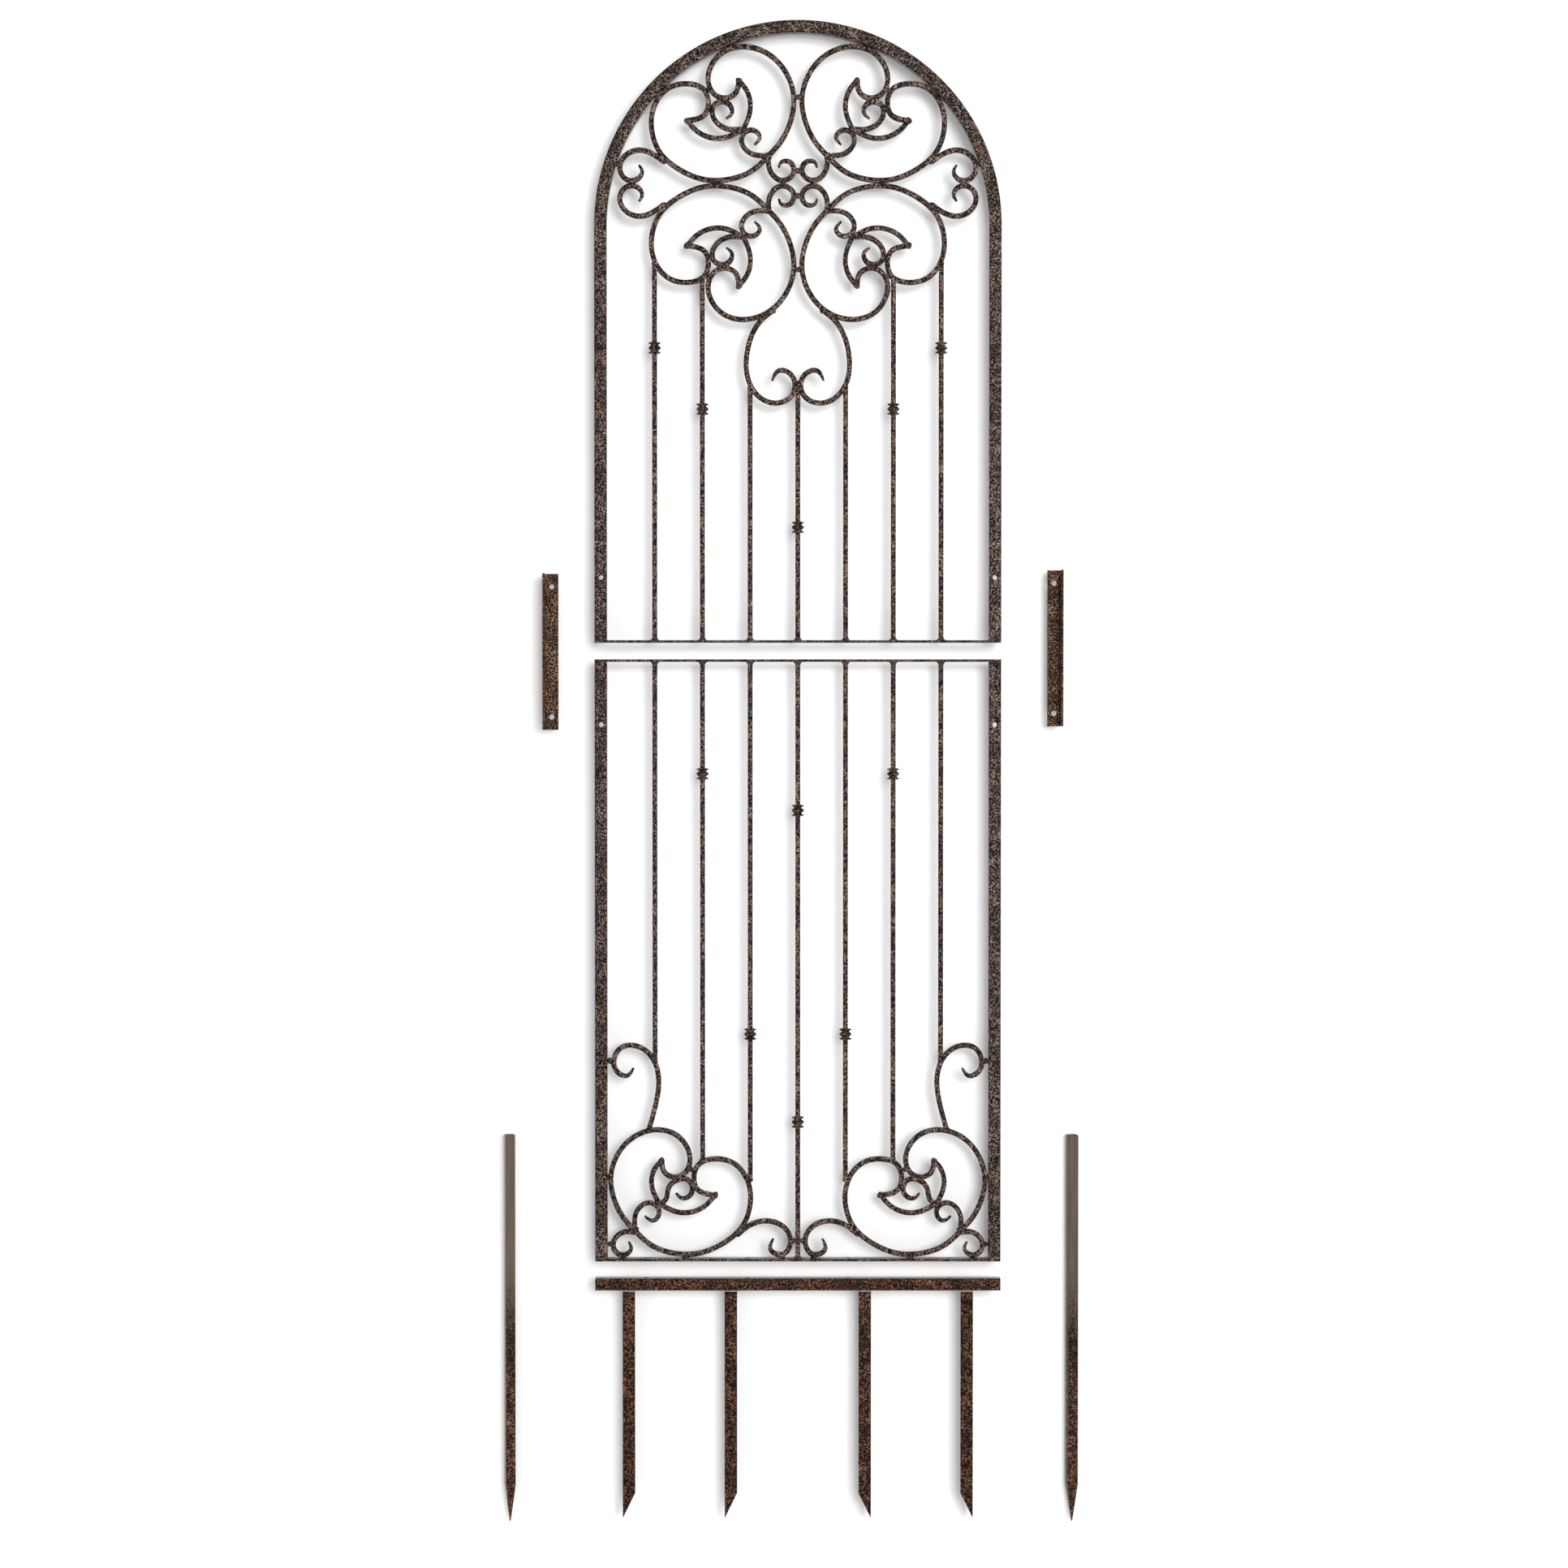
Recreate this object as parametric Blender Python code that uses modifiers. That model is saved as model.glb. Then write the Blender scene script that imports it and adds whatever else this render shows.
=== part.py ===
"""Knock-down metal trellis arch: two wrought panels, two connectors, a legged anchor and two stakes.

Units are metres, +Z is up, +X is to the right and the front faces -Y.  The origin is at the middle of the
anchor bar's underside, where the bar rests on the soil.  The pieces stand apart, as a kit is laid out, and
each panel, connector and stake slides straight to the place where it is fastened.
"""

from functools import partial
from math import atan2, ceil, cos, pi, radians, sin, sqrt

import bmesh
import bpy
import numpy as np
from mathutils import Matrix

MM = 0.001

# ---- driving dimensions ------------------------------------------------------------------------------
PANEL_WIDTH = 0.660          # outside width of both panels
UPPER_HEIGHT = 1.006         # arched panel, from its bottom rail to the crown
LOWER_HEIGHT = 0.980         # square panel
TUBE_SIDE = 0.0200           # frame tube, outside
TUBE_WALL = 0.0012
RAIL_THICKNESS = 0.0040      # flat bars across the panels
BAR_SIDE = 0.0080            # upright square bars
ROD_SIDE = 0.0084            # scroll rods
LEAF_SIDE = 0.0080           # the rod that edges a leaf, a little thinner than the loop it joins
WELD_DEPTH = 0.0064          # weld lumps stay inside the depth of the rods
SCROLL_TAPER = 0.42          # how thin a scroll's free end is drawn out, as a share of the rod
COLLAR_RADIUS = 0.0100       # cast triple-ring collars
COLLAR_GROOVE = 0.0082
COLLAR_RING = 0.0066         # height of one of the three rings
GAP = 0.0003                 # paint-thick gap between welded neighbours

BOLT_HOLE = 0.0084           # cross holes in the frame tubes and the connectors
RAIL_HOLE = 0.0066           # holes through the flat bars
DRILL_TWIST = radians(8)
BOLT_REACH = 0.106           # from the seam between the panels to each cross hole

CONNECTOR_LENGTH = 0.254
CONNECTOR_FLANGE = 0.0244
CONNECTOR_THICKNESS = 0.0032
FIT = 0.0004                 # clearance between a slid-in piece and the tube that it meets

ANCHOR_FLANGE = 0.0190
ANCHOR_THICKNESS = 0.0032
LEG_WIDTH = 0.0204
LEG_LENGTH = 0.374           # below the underside of the anchor bar
LEG_CUT = 0.042              # height of the slanted cut that makes the point
LEG_PLACES = (-0.2755, -0.1092, 0.1092, 0.2755)
BASE_HOLE_PLACES = (-0.2478, -0.0820, 0.0820, 0.2478)

STAKE_SIDE = 0.0168
STAKE_WALL = 0.0012
STAKE_TOP = 0.250            # above the soil
STAKE_SHOULDER = 0.3225      # below the soil, where the point starts
STAKE_POINT = 0.386          # below the soil
STAKE_TIP = 0.0016           # width of the blunt end
STAKE_TURN = radians(15)     # each stake lies turned a little about its own length

COLLAR_DROPS = {1: 0.198, 2: 0.297, 6: 0.297, 7: 0.198}   # upper collars, below the centre of the arch
UPPER_MIDDLE_COLLAR = 0.1875                              # above the upper panel's bottom
HIGH_COLLARS = {2: 0.186, 4: 0.2454, 6: 0.186}            # lower collars, below the panel's top
LOW_COLLARS = {3: 0.370, 4: 0.2264, 5: 0.370}             # lower collars, above the panel's bottom

# ---- how far apart the kit is laid out ---------------------------------------------------------------
ANCHOR_SPACE = 0.0285        # between the anchor bar and the lower panel
SEAM_SPACE = 0.0270          # between the panels
CONNECTOR_ASIDE = {-1: 0.0809, 1: 0.0973}    # sideways from the fitted place, left and right
CONNECTOR_RAISED = {-1: 0.0126, 1: 0.0183}   # upwards from the fitted place
STAKE_ASIDE = {-1: 0.1521, 1: 0.1296}

# ---- sizes that follow -------------------------------------------------------------------------------
CLEAR_WIDTH = PANEL_WIDTH - 2 * TUBE_SIDE
PITCH = CLEAR_WIDTH / 8      # seven bars make eight equal bays
DRAWN_WIDTH = 0.6219         # the clear width that the scroll outlines below are drawn for
SCROLL = MM * CLEAR_WIDTH / DRAWN_WIDTH
TUBE_CENTRE = (PANEL_WIDTH - TUBE_SIDE) / 2
ARCH_HEIGHT = UPPER_HEIGHT - PANEL_WIDTH / 2    # centre of the half-round top, above the panel's bottom
CREST_HEIGHT = ARCH_HEIGHT + 68.5 * SCROLL      # centre of the four crest motifs
LOWER_LIFT = ANCHOR_FLANGE + ANCHOR_SPACE
UPPER_LIFT = LOWER_LIFT + LOWER_HEIGHT + SEAM_SPACE
SEAM_HOLES = [side * PITCH * (bay - 0.5) for side in (-1, 1) for bay in (2, 3, 4)]

# ---- scroll outlines, in millimetres on the drawn width ----------------------------------------------
# A motif is drawn on its own axis: the first number is the distance towards the wide loop's side, the
# second is the distance along the axis from the stem, where both loops start.
MOTIF_TILT = radians(47.2)
WIDE_LOOP = [(0, 0), (36, 0.5), (71, 15), (102, 43), (120.5, 82), (125, 123), (111, 158), (81, 185),
             (45, 191), (16, 174.5), (3.6, 150), (12, 130), (30, 119.3), (56, 130.5)]
WIDE_LEAF = [(57, 131), (58, 116), (52, 92), (30, 69), (5.5, 61)]
NARROW_LOOP = [(0, 0), (-25, 2), (-63, 15.5), (-94, 40), (-112.5, 77), (-113.5, 117), (-97, 151),
               (-66, 172), (-34, 171), (-9.5, 153), (-4, 134), (-12.5, 116.5), (-31, 111), (-47.5, 121.5)]
NARROW_LEAF = [(-48.3, 122.5), (-47.5, 106), (-35, 80), (-18, 67), (-2, 60)]
BUD_CURL = [(14, 71.5), (23, 88), (22, 108), (10, 119.7), (-4.5, 116), (-10.5, 103), (-4.5, 91.5), (9, 91)]
BUD_MIDDLE = 8.5             # a turned-over bud curl is mirrored about this line
STEM_CURL = [(3.5, 4.5), (15.5, 18), (19.5, 35), (12.5, 50), (-1.5, 53.5), (-12, 45), (-11.5, 32.5),
             (4, 28.5)]
LEAF_ROOT = (1.5, 61)
FOOT_NARROW_SHARE = 0.93     # the foot motifs' narrow loops are bent a little smaller
CREST_STEM = (48.4, 43.7)    # from the middle of the crest
FOOT_STEM = (267.0, 49.5)    # from the panel's middle and its bottom

# The other scrolls are drawn for the right-hand side, from the panel's middle line.
SIDE_SCROLL = [(217, 34), (235, 46.7), (258, 53.5), (280, 45), (289.5, 24), (278.5, 6), (262, 6),
               (253.2, 19), (258.5, 29.5)]                        # height above the crest's middle
ROSETTE_CURL = [(48.2, 42), (44.2, 18.5), (24.5, 4.4), (6.8, 18.5), (15, 35), (27.5, 33.5), (31, 25)]
HEART_SCROLL = [(38, -136), (59.3, -153.2), (83, -209), (79.7, -253.2), (59.3, -280.9), (32, -288),
                (10, -276), (4.8, -258), (14, -239.5), (31, -235.5), (42, -252)]   # from the arch's centre
S_SCROLL = [(268.5, 316), (279, 303), (296, 310.5), (300.5, 328), (288.5, 349), (265, 352), (242, 338),
            (227.5, 300), (231, 262), (243, 216)]                 # height above the panel's bottom
CORNER_CURL = [(264, 45.8), (283, 47), (299, 36), (300.5, 18.5), (286, 9), (272.8, 19), (277, 31)]
BASE_SCROLL = [(99, 42), (81, 56.5), (50, 65), (21, 53), (12, 31), (26, 9.8), (44.5, 18), (40, 36)]

# Heights at which an upright bar meets the scroll above or below it.
UPPER_BAR_TOPS = {1: ARCH_HEIGHT - 60.5 * SCROLL, 2: ARCH_HEIGHT - 85.5 * SCROLL,
                  3: ARCH_HEIGHT - 262 * SCROLL, 4: ARCH_HEIGHT - 270 * SCROLL}
LOWER_BAR_FEET = {1: 326.5 * SCROLL, 2: 161 * SCROLL, 3: 131 * SCROLL, 4: RAIL_THICKNESS + GAP}

# ---- finishes ----------------------------------------------------------------------------------------
FINISHES = {
    "bronze_coat": ((0.052, 0.036, 0.029), 0.45, 0.55),
    "connector_coat": ((0.085, 0.052, 0.040), 0.50, 0.45),
    "anchor_coat": ((0.075, 0.047, 0.036), 0.50, 0.45),
    "stake_coat": ((0.110, 0.088, 0.068), 0.48, 0.45),
}


# ---- workshop helpers --------------------------------------------------------------------------------
def clear_scene():
    """Remove every object that the file opened with."""
    for thing in list(bpy.data.objects):
        bpy.data.objects.remove(thing)


def new_collection(name):
    collection = bpy.data.collections.new(name)
    bpy.context.scene.collection.children.link(collection)
    return collection


def new_object(name, data):
    """Put a new object on the bench, where the cutters are."""
    thing = bpy.data.objects.new(name, data)
    BENCH.objects.link(thing)
    thing.hide_render = True
    thing.display_type = "WIRE"
    return thing


def settle(thing):
    """Replace an object's mesh by its evaluated shape, so that its modifiers are used up."""
    bpy.context.view_layer.update()
    shaped = thing.evaluated_get(bpy.context.evaluated_depsgraph_get())
    mesh = bpy.data.meshes.new_from_object(shaped)
    thing.modifiers.clear()
    thing.data = mesh
    return thing


def combine(solid, tool, operation, keep_tool=False):
    """Join a tool to a solid, or cut it away, with an exact Boolean."""
    step = solid.modifiers.new("combine", "BOOLEAN")
    step.operation = operation
    step.solver = "EXACT"
    step.object = tool
    settle(solid)
    if not keep_tool:
        bpy.data.objects.remove(tool)


def bounds(thing):
    spots = np.empty(len(thing.data.vertices) * 3, dtype=np.float32)
    thing.data.vertices.foreach_get("co", spots)
    spots = spots.reshape(-1, 3)
    return spots.min(axis=0), spots.max(axis=0)


def boxes_meet(first, second):
    low_a, high_a = bounds(first)
    low_b, high_b = bounds(second)
    return bool(np.all(low_a <= high_b) and np.all(low_b <= high_a))


# ---- basic solids ------------------------------------------------------------------------------------
def block(centre, size, angle=0.0, grow=0.0):
    """A box; the angle turns it in the plane of the panel."""
    shape = bmesh.new()
    bmesh.ops.create_cube(shape, size=1.0)
    stretch = Matrix.Diagonal([side + 2 * grow for side in size] + [1.0])
    turn = Matrix.Rotation(-angle, 4, "Y")
    bmesh.ops.transform(shape, matrix=Matrix.Translation(centre) @ turn @ stretch, verts=shape.verts)
    mesh = bpy.data.meshes.new("block")
    shape.to_mesh(mesh)
    shape.free()
    return new_object("block", mesh)


def drill(centre, diameter, length, axis):
    """A round cutter along one axis, turned a little so that none of its edges lines up with a face's."""
    shape = bmesh.new()
    bmesh.ops.create_cone(shape, cap_ends=True, segments=12, radius1=diameter / 2,
                          radius2=diameter / 2, depth=length)
    turn = Matrix.Rotation(pi / 2, 4, "X") if axis == "Y" else Matrix.Identity(4)
    twist = Matrix.Rotation(DRILL_TWIST, 4, "Z")
    bmesh.ops.transform(shape, matrix=Matrix.Translation(centre) @ turn @ twist, verts=shape.verts)
    mesh = bpy.data.meshes.new("drill")
    shape.to_mesh(mesh)
    shape.free()
    return new_object("drill", mesh)


def turned(profile, sides, twist=0.0):
    """Turn a profile of (radius, height) pairs, listed downwards, about the Z axis."""
    mesh = bpy.data.meshes.new("turned")
    links = [(spot, spot + 1) for spot in range(len(profile) - 1)]
    mesh.from_pydata([(radius, 0.0, height) for radius, height in profile], links, [])
    solid = new_object("turned", mesh)
    screw = solid.modifiers.new("turn", "SCREW")
    screw.steps = sides
    screw.render_steps = sides
    screw.use_merge_vertices = True
    screw.merge_threshold = 0.00001
    settle(solid)
    solid.data.transform(Matrix.Rotation(twist, 4, "Z"))
    return solid


def prism(outline, length, matrix):
    """A flat outline with a thickness, then moved by the matrix."""
    curve = bpy.data.curves.new("outline", "CURVE")
    curve.dimensions = "2D"
    curve.fill_mode = "BOTH"
    curve.extrude = length / 2
    line = curve.splines.new("POLY")
    line.points.add(len(outline) - 1)
    for point, (across, up) in zip(line.points, outline):
        point.co = (across, up, 0.0, 1.0)
    line.use_cyclic_u = True
    return curve_to_solid(new_object("outline", curve), matrix)


def curve_to_solid(thing, matrix):
    """Make a mesh of a curve object, weld its loose caps and remove the curve."""
    bpy.context.view_layer.update()
    shaped = thing.evaluated_get(bpy.context.evaluated_depsgraph_get())
    mesh = bpy.data.meshes.new_from_object(shaped)
    shape = bmesh.new()
    shape.from_mesh(mesh)
    bmesh.ops.remove_doubles(shape, verts=shape.verts, dist=0.000005)
    bmesh.ops.recalc_face_normals(shape, faces=shape.faces)
    shape.to_mesh(mesh)
    shape.free()
    mesh.transform(matrix)
    bpy.data.objects.remove(thing)
    return new_object("solid", mesh)


# ---- bent square rods --------------------------------------------------------------------------------
def smooth(points):
    """A natural cubic spline through the points, finely stepped, with chord lengths as its parameter."""
    spots = np.array(points, dtype=float)
    knots = np.concatenate([[0.0], np.cumsum(np.hypot(*np.diff(spots, axis=0).T))])
    gaps = np.diff(knots)
    count = len(spots)
    system = np.eye(count)
    slopes = np.zeros_like(spots)
    rises = np.diff(spots, axis=0) / gaps[:, None]
    for row in range(1, count - 1):
        system[row, row - 1:row + 2] = gaps[row - 1], 2 * (gaps[row - 1] + gaps[row]), gaps[row]
    slopes[1:-1] = 6 * np.diff(rises, axis=0)
    curving = np.linalg.solve(system, slopes)
    along = np.linspace(0.0, knots[-1], 600)
    place = np.clip(np.searchsorted(knots, along, side="right") - 1, 0, count - 2)
    gap = gaps[place][:, None]
    before = (knots[place + 1] - along)[:, None]
    after = (along - knots[place])[:, None]
    return (curving[place] * before ** 3 + curving[place + 1] * after ** 3) / (6 * gap) \
        + (spots[place] / gap - curving[place] * gap / 6) * before \
        + (spots[place + 1] / gap - curving[place + 1] * gap / 6) * after


def stepped(path, reach=0.020, bend=radians(15)):
    """Thin a fine path to steps no longer than the reach and no more bent than the bend."""
    moves = np.diff(path, axis=0)
    lengths = np.hypot(*moves.T)
    headings = np.unwrap(np.arctan2(moves[:, 1], moves[:, 0]))
    bends = np.abs(np.diff(headings, append=headings[-1]))
    cost = np.concatenate([[0.0], np.cumsum(np.maximum(lengths / reach, bends / bend))])
    marks = np.linspace(0.0, cost[-1], max(2, ceil(cost[-1])) + 1)
    return np.stack([np.interp(marks, cost, path[:, axis]) for axis in (0, 1)], axis=1)


def sweep(path, side, ends=(1.0, 1.0), taper_length=0.030):
    """Carry a square profile along a path of (x, z) points, drawing out an end whose share is below 1."""
    profile = bpy.data.curves.new("profile", "CURVE")
    square = profile.splines.new("POLY")
    square.points.add(3)
    for point, (across, up) in zip(square.points, ((1, 1), (-1, 1), (-1, -1), (1, -1))):
        point.co = (across * side / 2, up * side / 2, 0.0, 1.0)
    square.use_cyclic_u = True
    section = new_object("profile", profile)
    curve = bpy.data.curves.new("path", "CURVE")
    curve.dimensions = "2D"
    curve.bevel_mode = "OBJECT"
    curve.bevel_object = section
    curve.use_fill_caps = True
    line = curve.splines.new("POLY")
    line.points.add(len(path) - 1)
    along = np.concatenate([[0.0], np.cumsum(np.hypot(*np.diff(path, axis=0).T))])
    from_end = along[-1] - along
    thinning = 1 - (1 - ends[0]) * np.clip(1 - along / taper_length, 0, 1) ** 1.5
    thinning *= 1 - (1 - ends[1]) * np.clip(1 - from_end / taper_length, 0, 1) ** 1.5
    for point, (across, up), share in zip(line.points, path, thinning):
        point.co = (across, up, 0.0, 1.0)
        point.radius = share
    solid = curve_to_solid(new_object("path", curve), Matrix.Rotation(pi / 2, 4, "X"))
    bpy.data.objects.remove(section)
    return solid


def rod(points, side=ROD_SIDE, ends=(1.0, 1.0), grow=0.0):
    """A square rod bent along a smooth line through the points, which are in metres."""
    return sweep(stepped(smooth(points)), side + 2 * grow, ends)


# ---- frame tubes -------------------------------------------------------------------------------------
def arch_path(foot):
    """Up the left leg, round the half circle and down the right leg."""
    turn = np.linspace(pi, 0.0, 41)
    arc = np.stack([TUBE_CENTRE * np.cos(turn), ARCH_HEIGHT + TUBE_CENTRE * np.sin(turn)], axis=1)
    return np.concatenate([[(-TUBE_CENTRE, foot)], arc, [(TUBE_CENTRE, foot)]])


def arch_tube(grow=0.0):
    """The hollow arch; grown, it is a plain solid that trims what meets it."""
    foot = RAIL_THICKNESS + GAP
    outside = sweep(arch_path(foot - grow), TUBE_SIDE + 2 * grow)
    if grow:
        return outside
    combine(outside, sweep(arch_path(foot - 0.01), TUBE_SIDE - 2 * TUBE_WALL), "DIFFERENCE")
    return outside


def side_tube(side, grow=0.0):
    """A straight tube of the lower panel, open at its foot for a stake."""
    top = LOWER_HEIGHT - RAIL_THICKNESS - GAP
    middle = (side * TUBE_CENTRE, 0.0, top / 2)
    outside = block(middle, (TUBE_SIDE, TUBE_SIDE, top), grow=grow)
    if grow:
        return outside
    bore = TUBE_SIDE - 2 * TUBE_WALL
    combine(outside, block(middle, (bore, bore, top + 0.02)), "DIFFERENCE")
    return outside


# ---- bars, collars and weld lumps --------------------------------------------------------------------
def bar(across, foot, top, grow=0.0):
    return block((across, 0.0, (foot + top) / 2), (BAR_SIDE, BAR_SIDE, top - foot), grow=grow)


def collar(across, height, grow=0.0):
    """Three rounded rings, cast in one, on an upright bar."""
    ring = COLLAR_RING
    profile = [(0.0, 1.5 * ring)]
    for top in (1.5 * ring, 0.5 * ring, -0.5 * ring):
        profile += [(COLLAR_GROOVE, top), (COLLAR_RADIUS, top - 0.3 * ring),
                    (COLLAR_RADIUS, top - 0.7 * ring)]
    profile += [(COLLAR_GROOVE, -1.5 * ring), (0.0, -1.5 * ring)]
    cast = turned(profile, 12)
    cast.data.transform(Matrix.Translation((across, 0.0, height)))
    return cast


def weld(across, height, wide, tall, angle=0.0, grow=0.0):
    """A lump of weld between two rods, given by its middle."""
    return block((across, 0.0, height), (wide, WELD_DEPTH, tall), angle, grow)


# ---- scroll motifs -----------------------------------------------------------------------------------
class Motif:
    """Where a motif stands: its stem, which way its axis leans and on which side its bud curls."""

    def __init__(self, name, stem, lean_x, lean_z, bud_side, narrow_share=1.0):
        self.name = name
        self.stem = np.array(stem)
        self.axis = np.array((lean_x * cos(MOTIF_TILT), lean_z * sin(MOTIF_TILT)))
        self.across = np.array((lean_x * sin(MOTIF_TILT), -lean_z * cos(MOTIF_TILT)))
        self.bud_side = bud_side
        self.narrow_share = narrow_share

    def place(self, points):
        """Panel positions of points drawn on the motif's own axis, in millimetres."""
        drawn = np.atleast_2d(np.array(points, dtype=float))
        return self.stem + SCROLL * (drawn[:, :1] * self.across + drawn[:, 1:] * self.axis)

    def weld(self, point, wide, tall):
        """A weld lump square to the motif's axis."""
        middle = self.place(point)[0]
        return partial(weld, middle[0], middle[1], wide, tall, atan2(self.across[1], self.across[0]))

    def rods(self):
        """The rods of the curls, the wide loop and the narrow loop, each as a list of makers."""
        share = self.narrow_share
        bud = BUD_CURL if self.bud_side > 0 else [(2 * BUD_MIDDLE - u, v) for u, v in BUD_CURL]
        stem = [(u * self.bud_side, v) for u, v in STEM_CURL]
        narrow = [(u * share, v * share) for u, v in NARROW_LOOP]
        settling = np.linspace(share, 1.0, len(NARROW_LEAF))
        narrow_leaf = [(u * part, v * part) for (u, v), part in zip(NARROW_LEAF, settling)]
        drawn_out = (1.0, SCROLL_TAPER)
        curls = [partial(rod, self.place([LEAF_ROOT] + bud), ROD_SIDE, drawn_out),
                 self.weld((0.5, 57.5), 0.009, 0.009),
                 partial(rod, self.place(stem), LEAF_SIDE, drawn_out)]
        wide = [partial(rod, self.place(WIDE_LOOP), ROD_SIDE),
                partial(rod, self.place(WIDE_LEAF), LEAF_SIDE)]
        thin = [partial(rod, self.place(narrow), ROD_SIDE),
                partial(rod, self.place(narrow_leaf), LEAF_SIDE),
                self.weld((0, 146 * share), 0.009, 0.007)]
        return curls, wide, thin


def frame_weld(spot):
    """A weld lump between a crest loop and the inside of the arch, nearest to a spot on the loop."""
    angle = atan2(spot[1] - ARCH_HEIGHT, spot[0])
    reach = PANEL_WIDTH / 2 - TUBE_SIDE - 0.0025
    return partial(weld, reach * cos(angle), ARCH_HEIGHT + reach * sin(angle), 0.007, 0.008, angle)


# ---- fitting pieces together -------------------------------------------------------------------------
def mirrored(points, side, base=0.0, flip=1):
    """Panel positions of a scroll drawn for the right-hand side, in millimetres above a base height."""
    return [(side * across * SCROLL, base + flip * up * SCROLL) for across, up in points]


def fit_pieces(pieces):
    """Make each piece and trim it by the grown shapes of the pieces that are already fitted."""
    tools = []
    fitted = {}
    for name, makers, holes in pieces:
        solid = makers[0]()
        for maker in makers[1:]:
            combine(solid, maker(), "UNION")
        for tool in tools:
            if boxes_meet(solid, tool):
                combine(solid, tool, "DIFFERENCE", keep_tool=True)
        for hole in holes:
            combine(solid, hole(), "DIFFERENCE")
        tools += [maker(grow=GAP) for maker in makers]
        fitted[name] = solid
    for tool in tools:
        bpy.data.objects.remove(tool)
    return fitted


def upper_panel():
    """The arched panel's pieces, from the outside in."""
    cross_holes = [partial(drill, (side * TUBE_CENTRE, 0.0, BOLT_REACH), BOLT_HOLE, 2 * TUBE_SIDE, "Y")
                   for side in (-1, 1)]
    middle = RAIL_THICKNESS / 2
    rail = partial(block, (0.0, 0.0, middle), (PANEL_WIDTH, TUBE_SIDE, RAIL_THICKNESS))
    rail_holes = [partial(drill, (across, 0.0, middle), RAIL_HOLE, 0.02, "Z") for across in SEAM_HOLES]
    pieces = [("upper_frame_tube", [arch_tube], cross_holes), ("upper_bottom_rail", [rail], rail_holes)]
    motifs = []
    for row, lean_z in (("top", 1), ("low", -1)):
        for label, lean_x in (("left", -1), ("right", 1)):
            stem = (lean_x * CREST_STEM[0] * SCROLL, CREST_HEIGHT + lean_z * CREST_STEM[1] * SCROLL)
            motifs.append(Motif(f"crest_{row}_{label}", stem, lean_x, lean_z, 1))
    rods = [motif.rods() for motif in motifs]
    for index, (motif, (curls, wide, thin)) in enumerate(zip(motifs, rods)):
        if index < 2:
            wide.append(frame_weld(motif.place((60, 192))[0]))
            thin.append(frame_weld(motif.place((-64, 174))[0]))
        else:
            wide.append(partial(weld, (-1, 1)[index % 2] * 137 * SCROLL, CREST_HEIGHT, 0.009, 0.007))
        if index % 2:
            middle = motif.place((-96, 42))[0][1]
            thin.append(partial(weld, 0.0, middle, 0.015, 0.008))
    for part, kind in enumerate(("curls", "wide_loop", "narrow_loop")):
        pieces += [(f"{motif.name}_{kind}", rods[index][part], []) for index, motif in enumerate(motifs)]
    rosette = [partial(rod, mirrored(ROSETTE_CURL, side, CREST_HEIGHT, flip), ROD_SIDE, (1.0, SCROLL_TAPER))
               for flip in (1, -1) for side in (-1, 1)]
    rosette += [partial(weld, side * 24.5 * SCROLL, CREST_HEIGHT, 0.0065, 0.008) for side in (-1, 1)]
    rosette += [partial(weld, 0.0, CREST_HEIGHT + flip * 19 * SCROLL, 0.012, 0.0065) for flip in (-1, 1)]
    pieces.append(("centre_rosette", rosette, []))
    for row, flip in (("top", 1), ("low", -1)):
        for label, side in (("left", -1), ("right", 1)):
            line = mirrored(SIDE_SCROLL, side, CREST_HEIGHT, flip)
            makers = [partial(rod, line, ROD_SIDE, (1.0, SCROLL_TAPER))]
            if flip > 0:
                spot = (side * 300 * SCROLL, CREST_HEIGHT + 33 * SCROLL)
                makers.append(frame_weld(spot))
            else:
                makers.append(partial(weld, side * 270 * SCROLL, CREST_HEIGHT, 0.009, 0.007))
            pieces.append((f"side_scroll_{row}_{label}", makers, []))
    for label, side in (("left", -1), ("right", 1)):
        makers = [partial(rod, mirrored(HEART_SCROLL, side, ARCH_HEIGHT), ROD_SIDE, (1.0, SCROLL_TAPER))]
        if side > 0:
            makers.append(partial(weld, 0.0, ARCH_HEIGHT - 258 * SCROLL, 0.010, 0.008))
        pieces.append((f"heart_scroll_{label}", makers, []))
    for number in range(1, 8):
        across = (number - 4) * PITCH
        top = UPPER_BAR_TOPS[min(number, 8 - number)]
        makers = [partial(bar, across, RAIL_THICKNESS + GAP, top)]
        if number == 4:
            makers.append(partial(collar, across, UPPER_MIDDLE_COLLAR))
        elif number in COLLAR_DROPS:
            makers.append(partial(collar, across, ARCH_HEIGHT - COLLAR_DROPS[number]))
        pieces.append((f"upper_bar_{number}", makers, []))
    return fit_pieces(pieces)


def lower_bar(number):
    """One upright bar of the lower panel with its collars."""
    across = (number - 4) * PITCH
    foot = LOWER_BAR_FEET[min(number, 8 - number)]
    makers = [partial(bar, across, foot, LOWER_HEIGHT - RAIL_THICKNESS - GAP)]
    if number in HIGH_COLLARS:
        makers.append(partial(collar, across, LOWER_HEIGHT - HIGH_COLLARS[number]))
    if number in LOW_COLLARS:
        makers.append(partial(collar, across, LOW_COLLARS[number]))
    return (f"lower_bar_{number}", makers, [])


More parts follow.
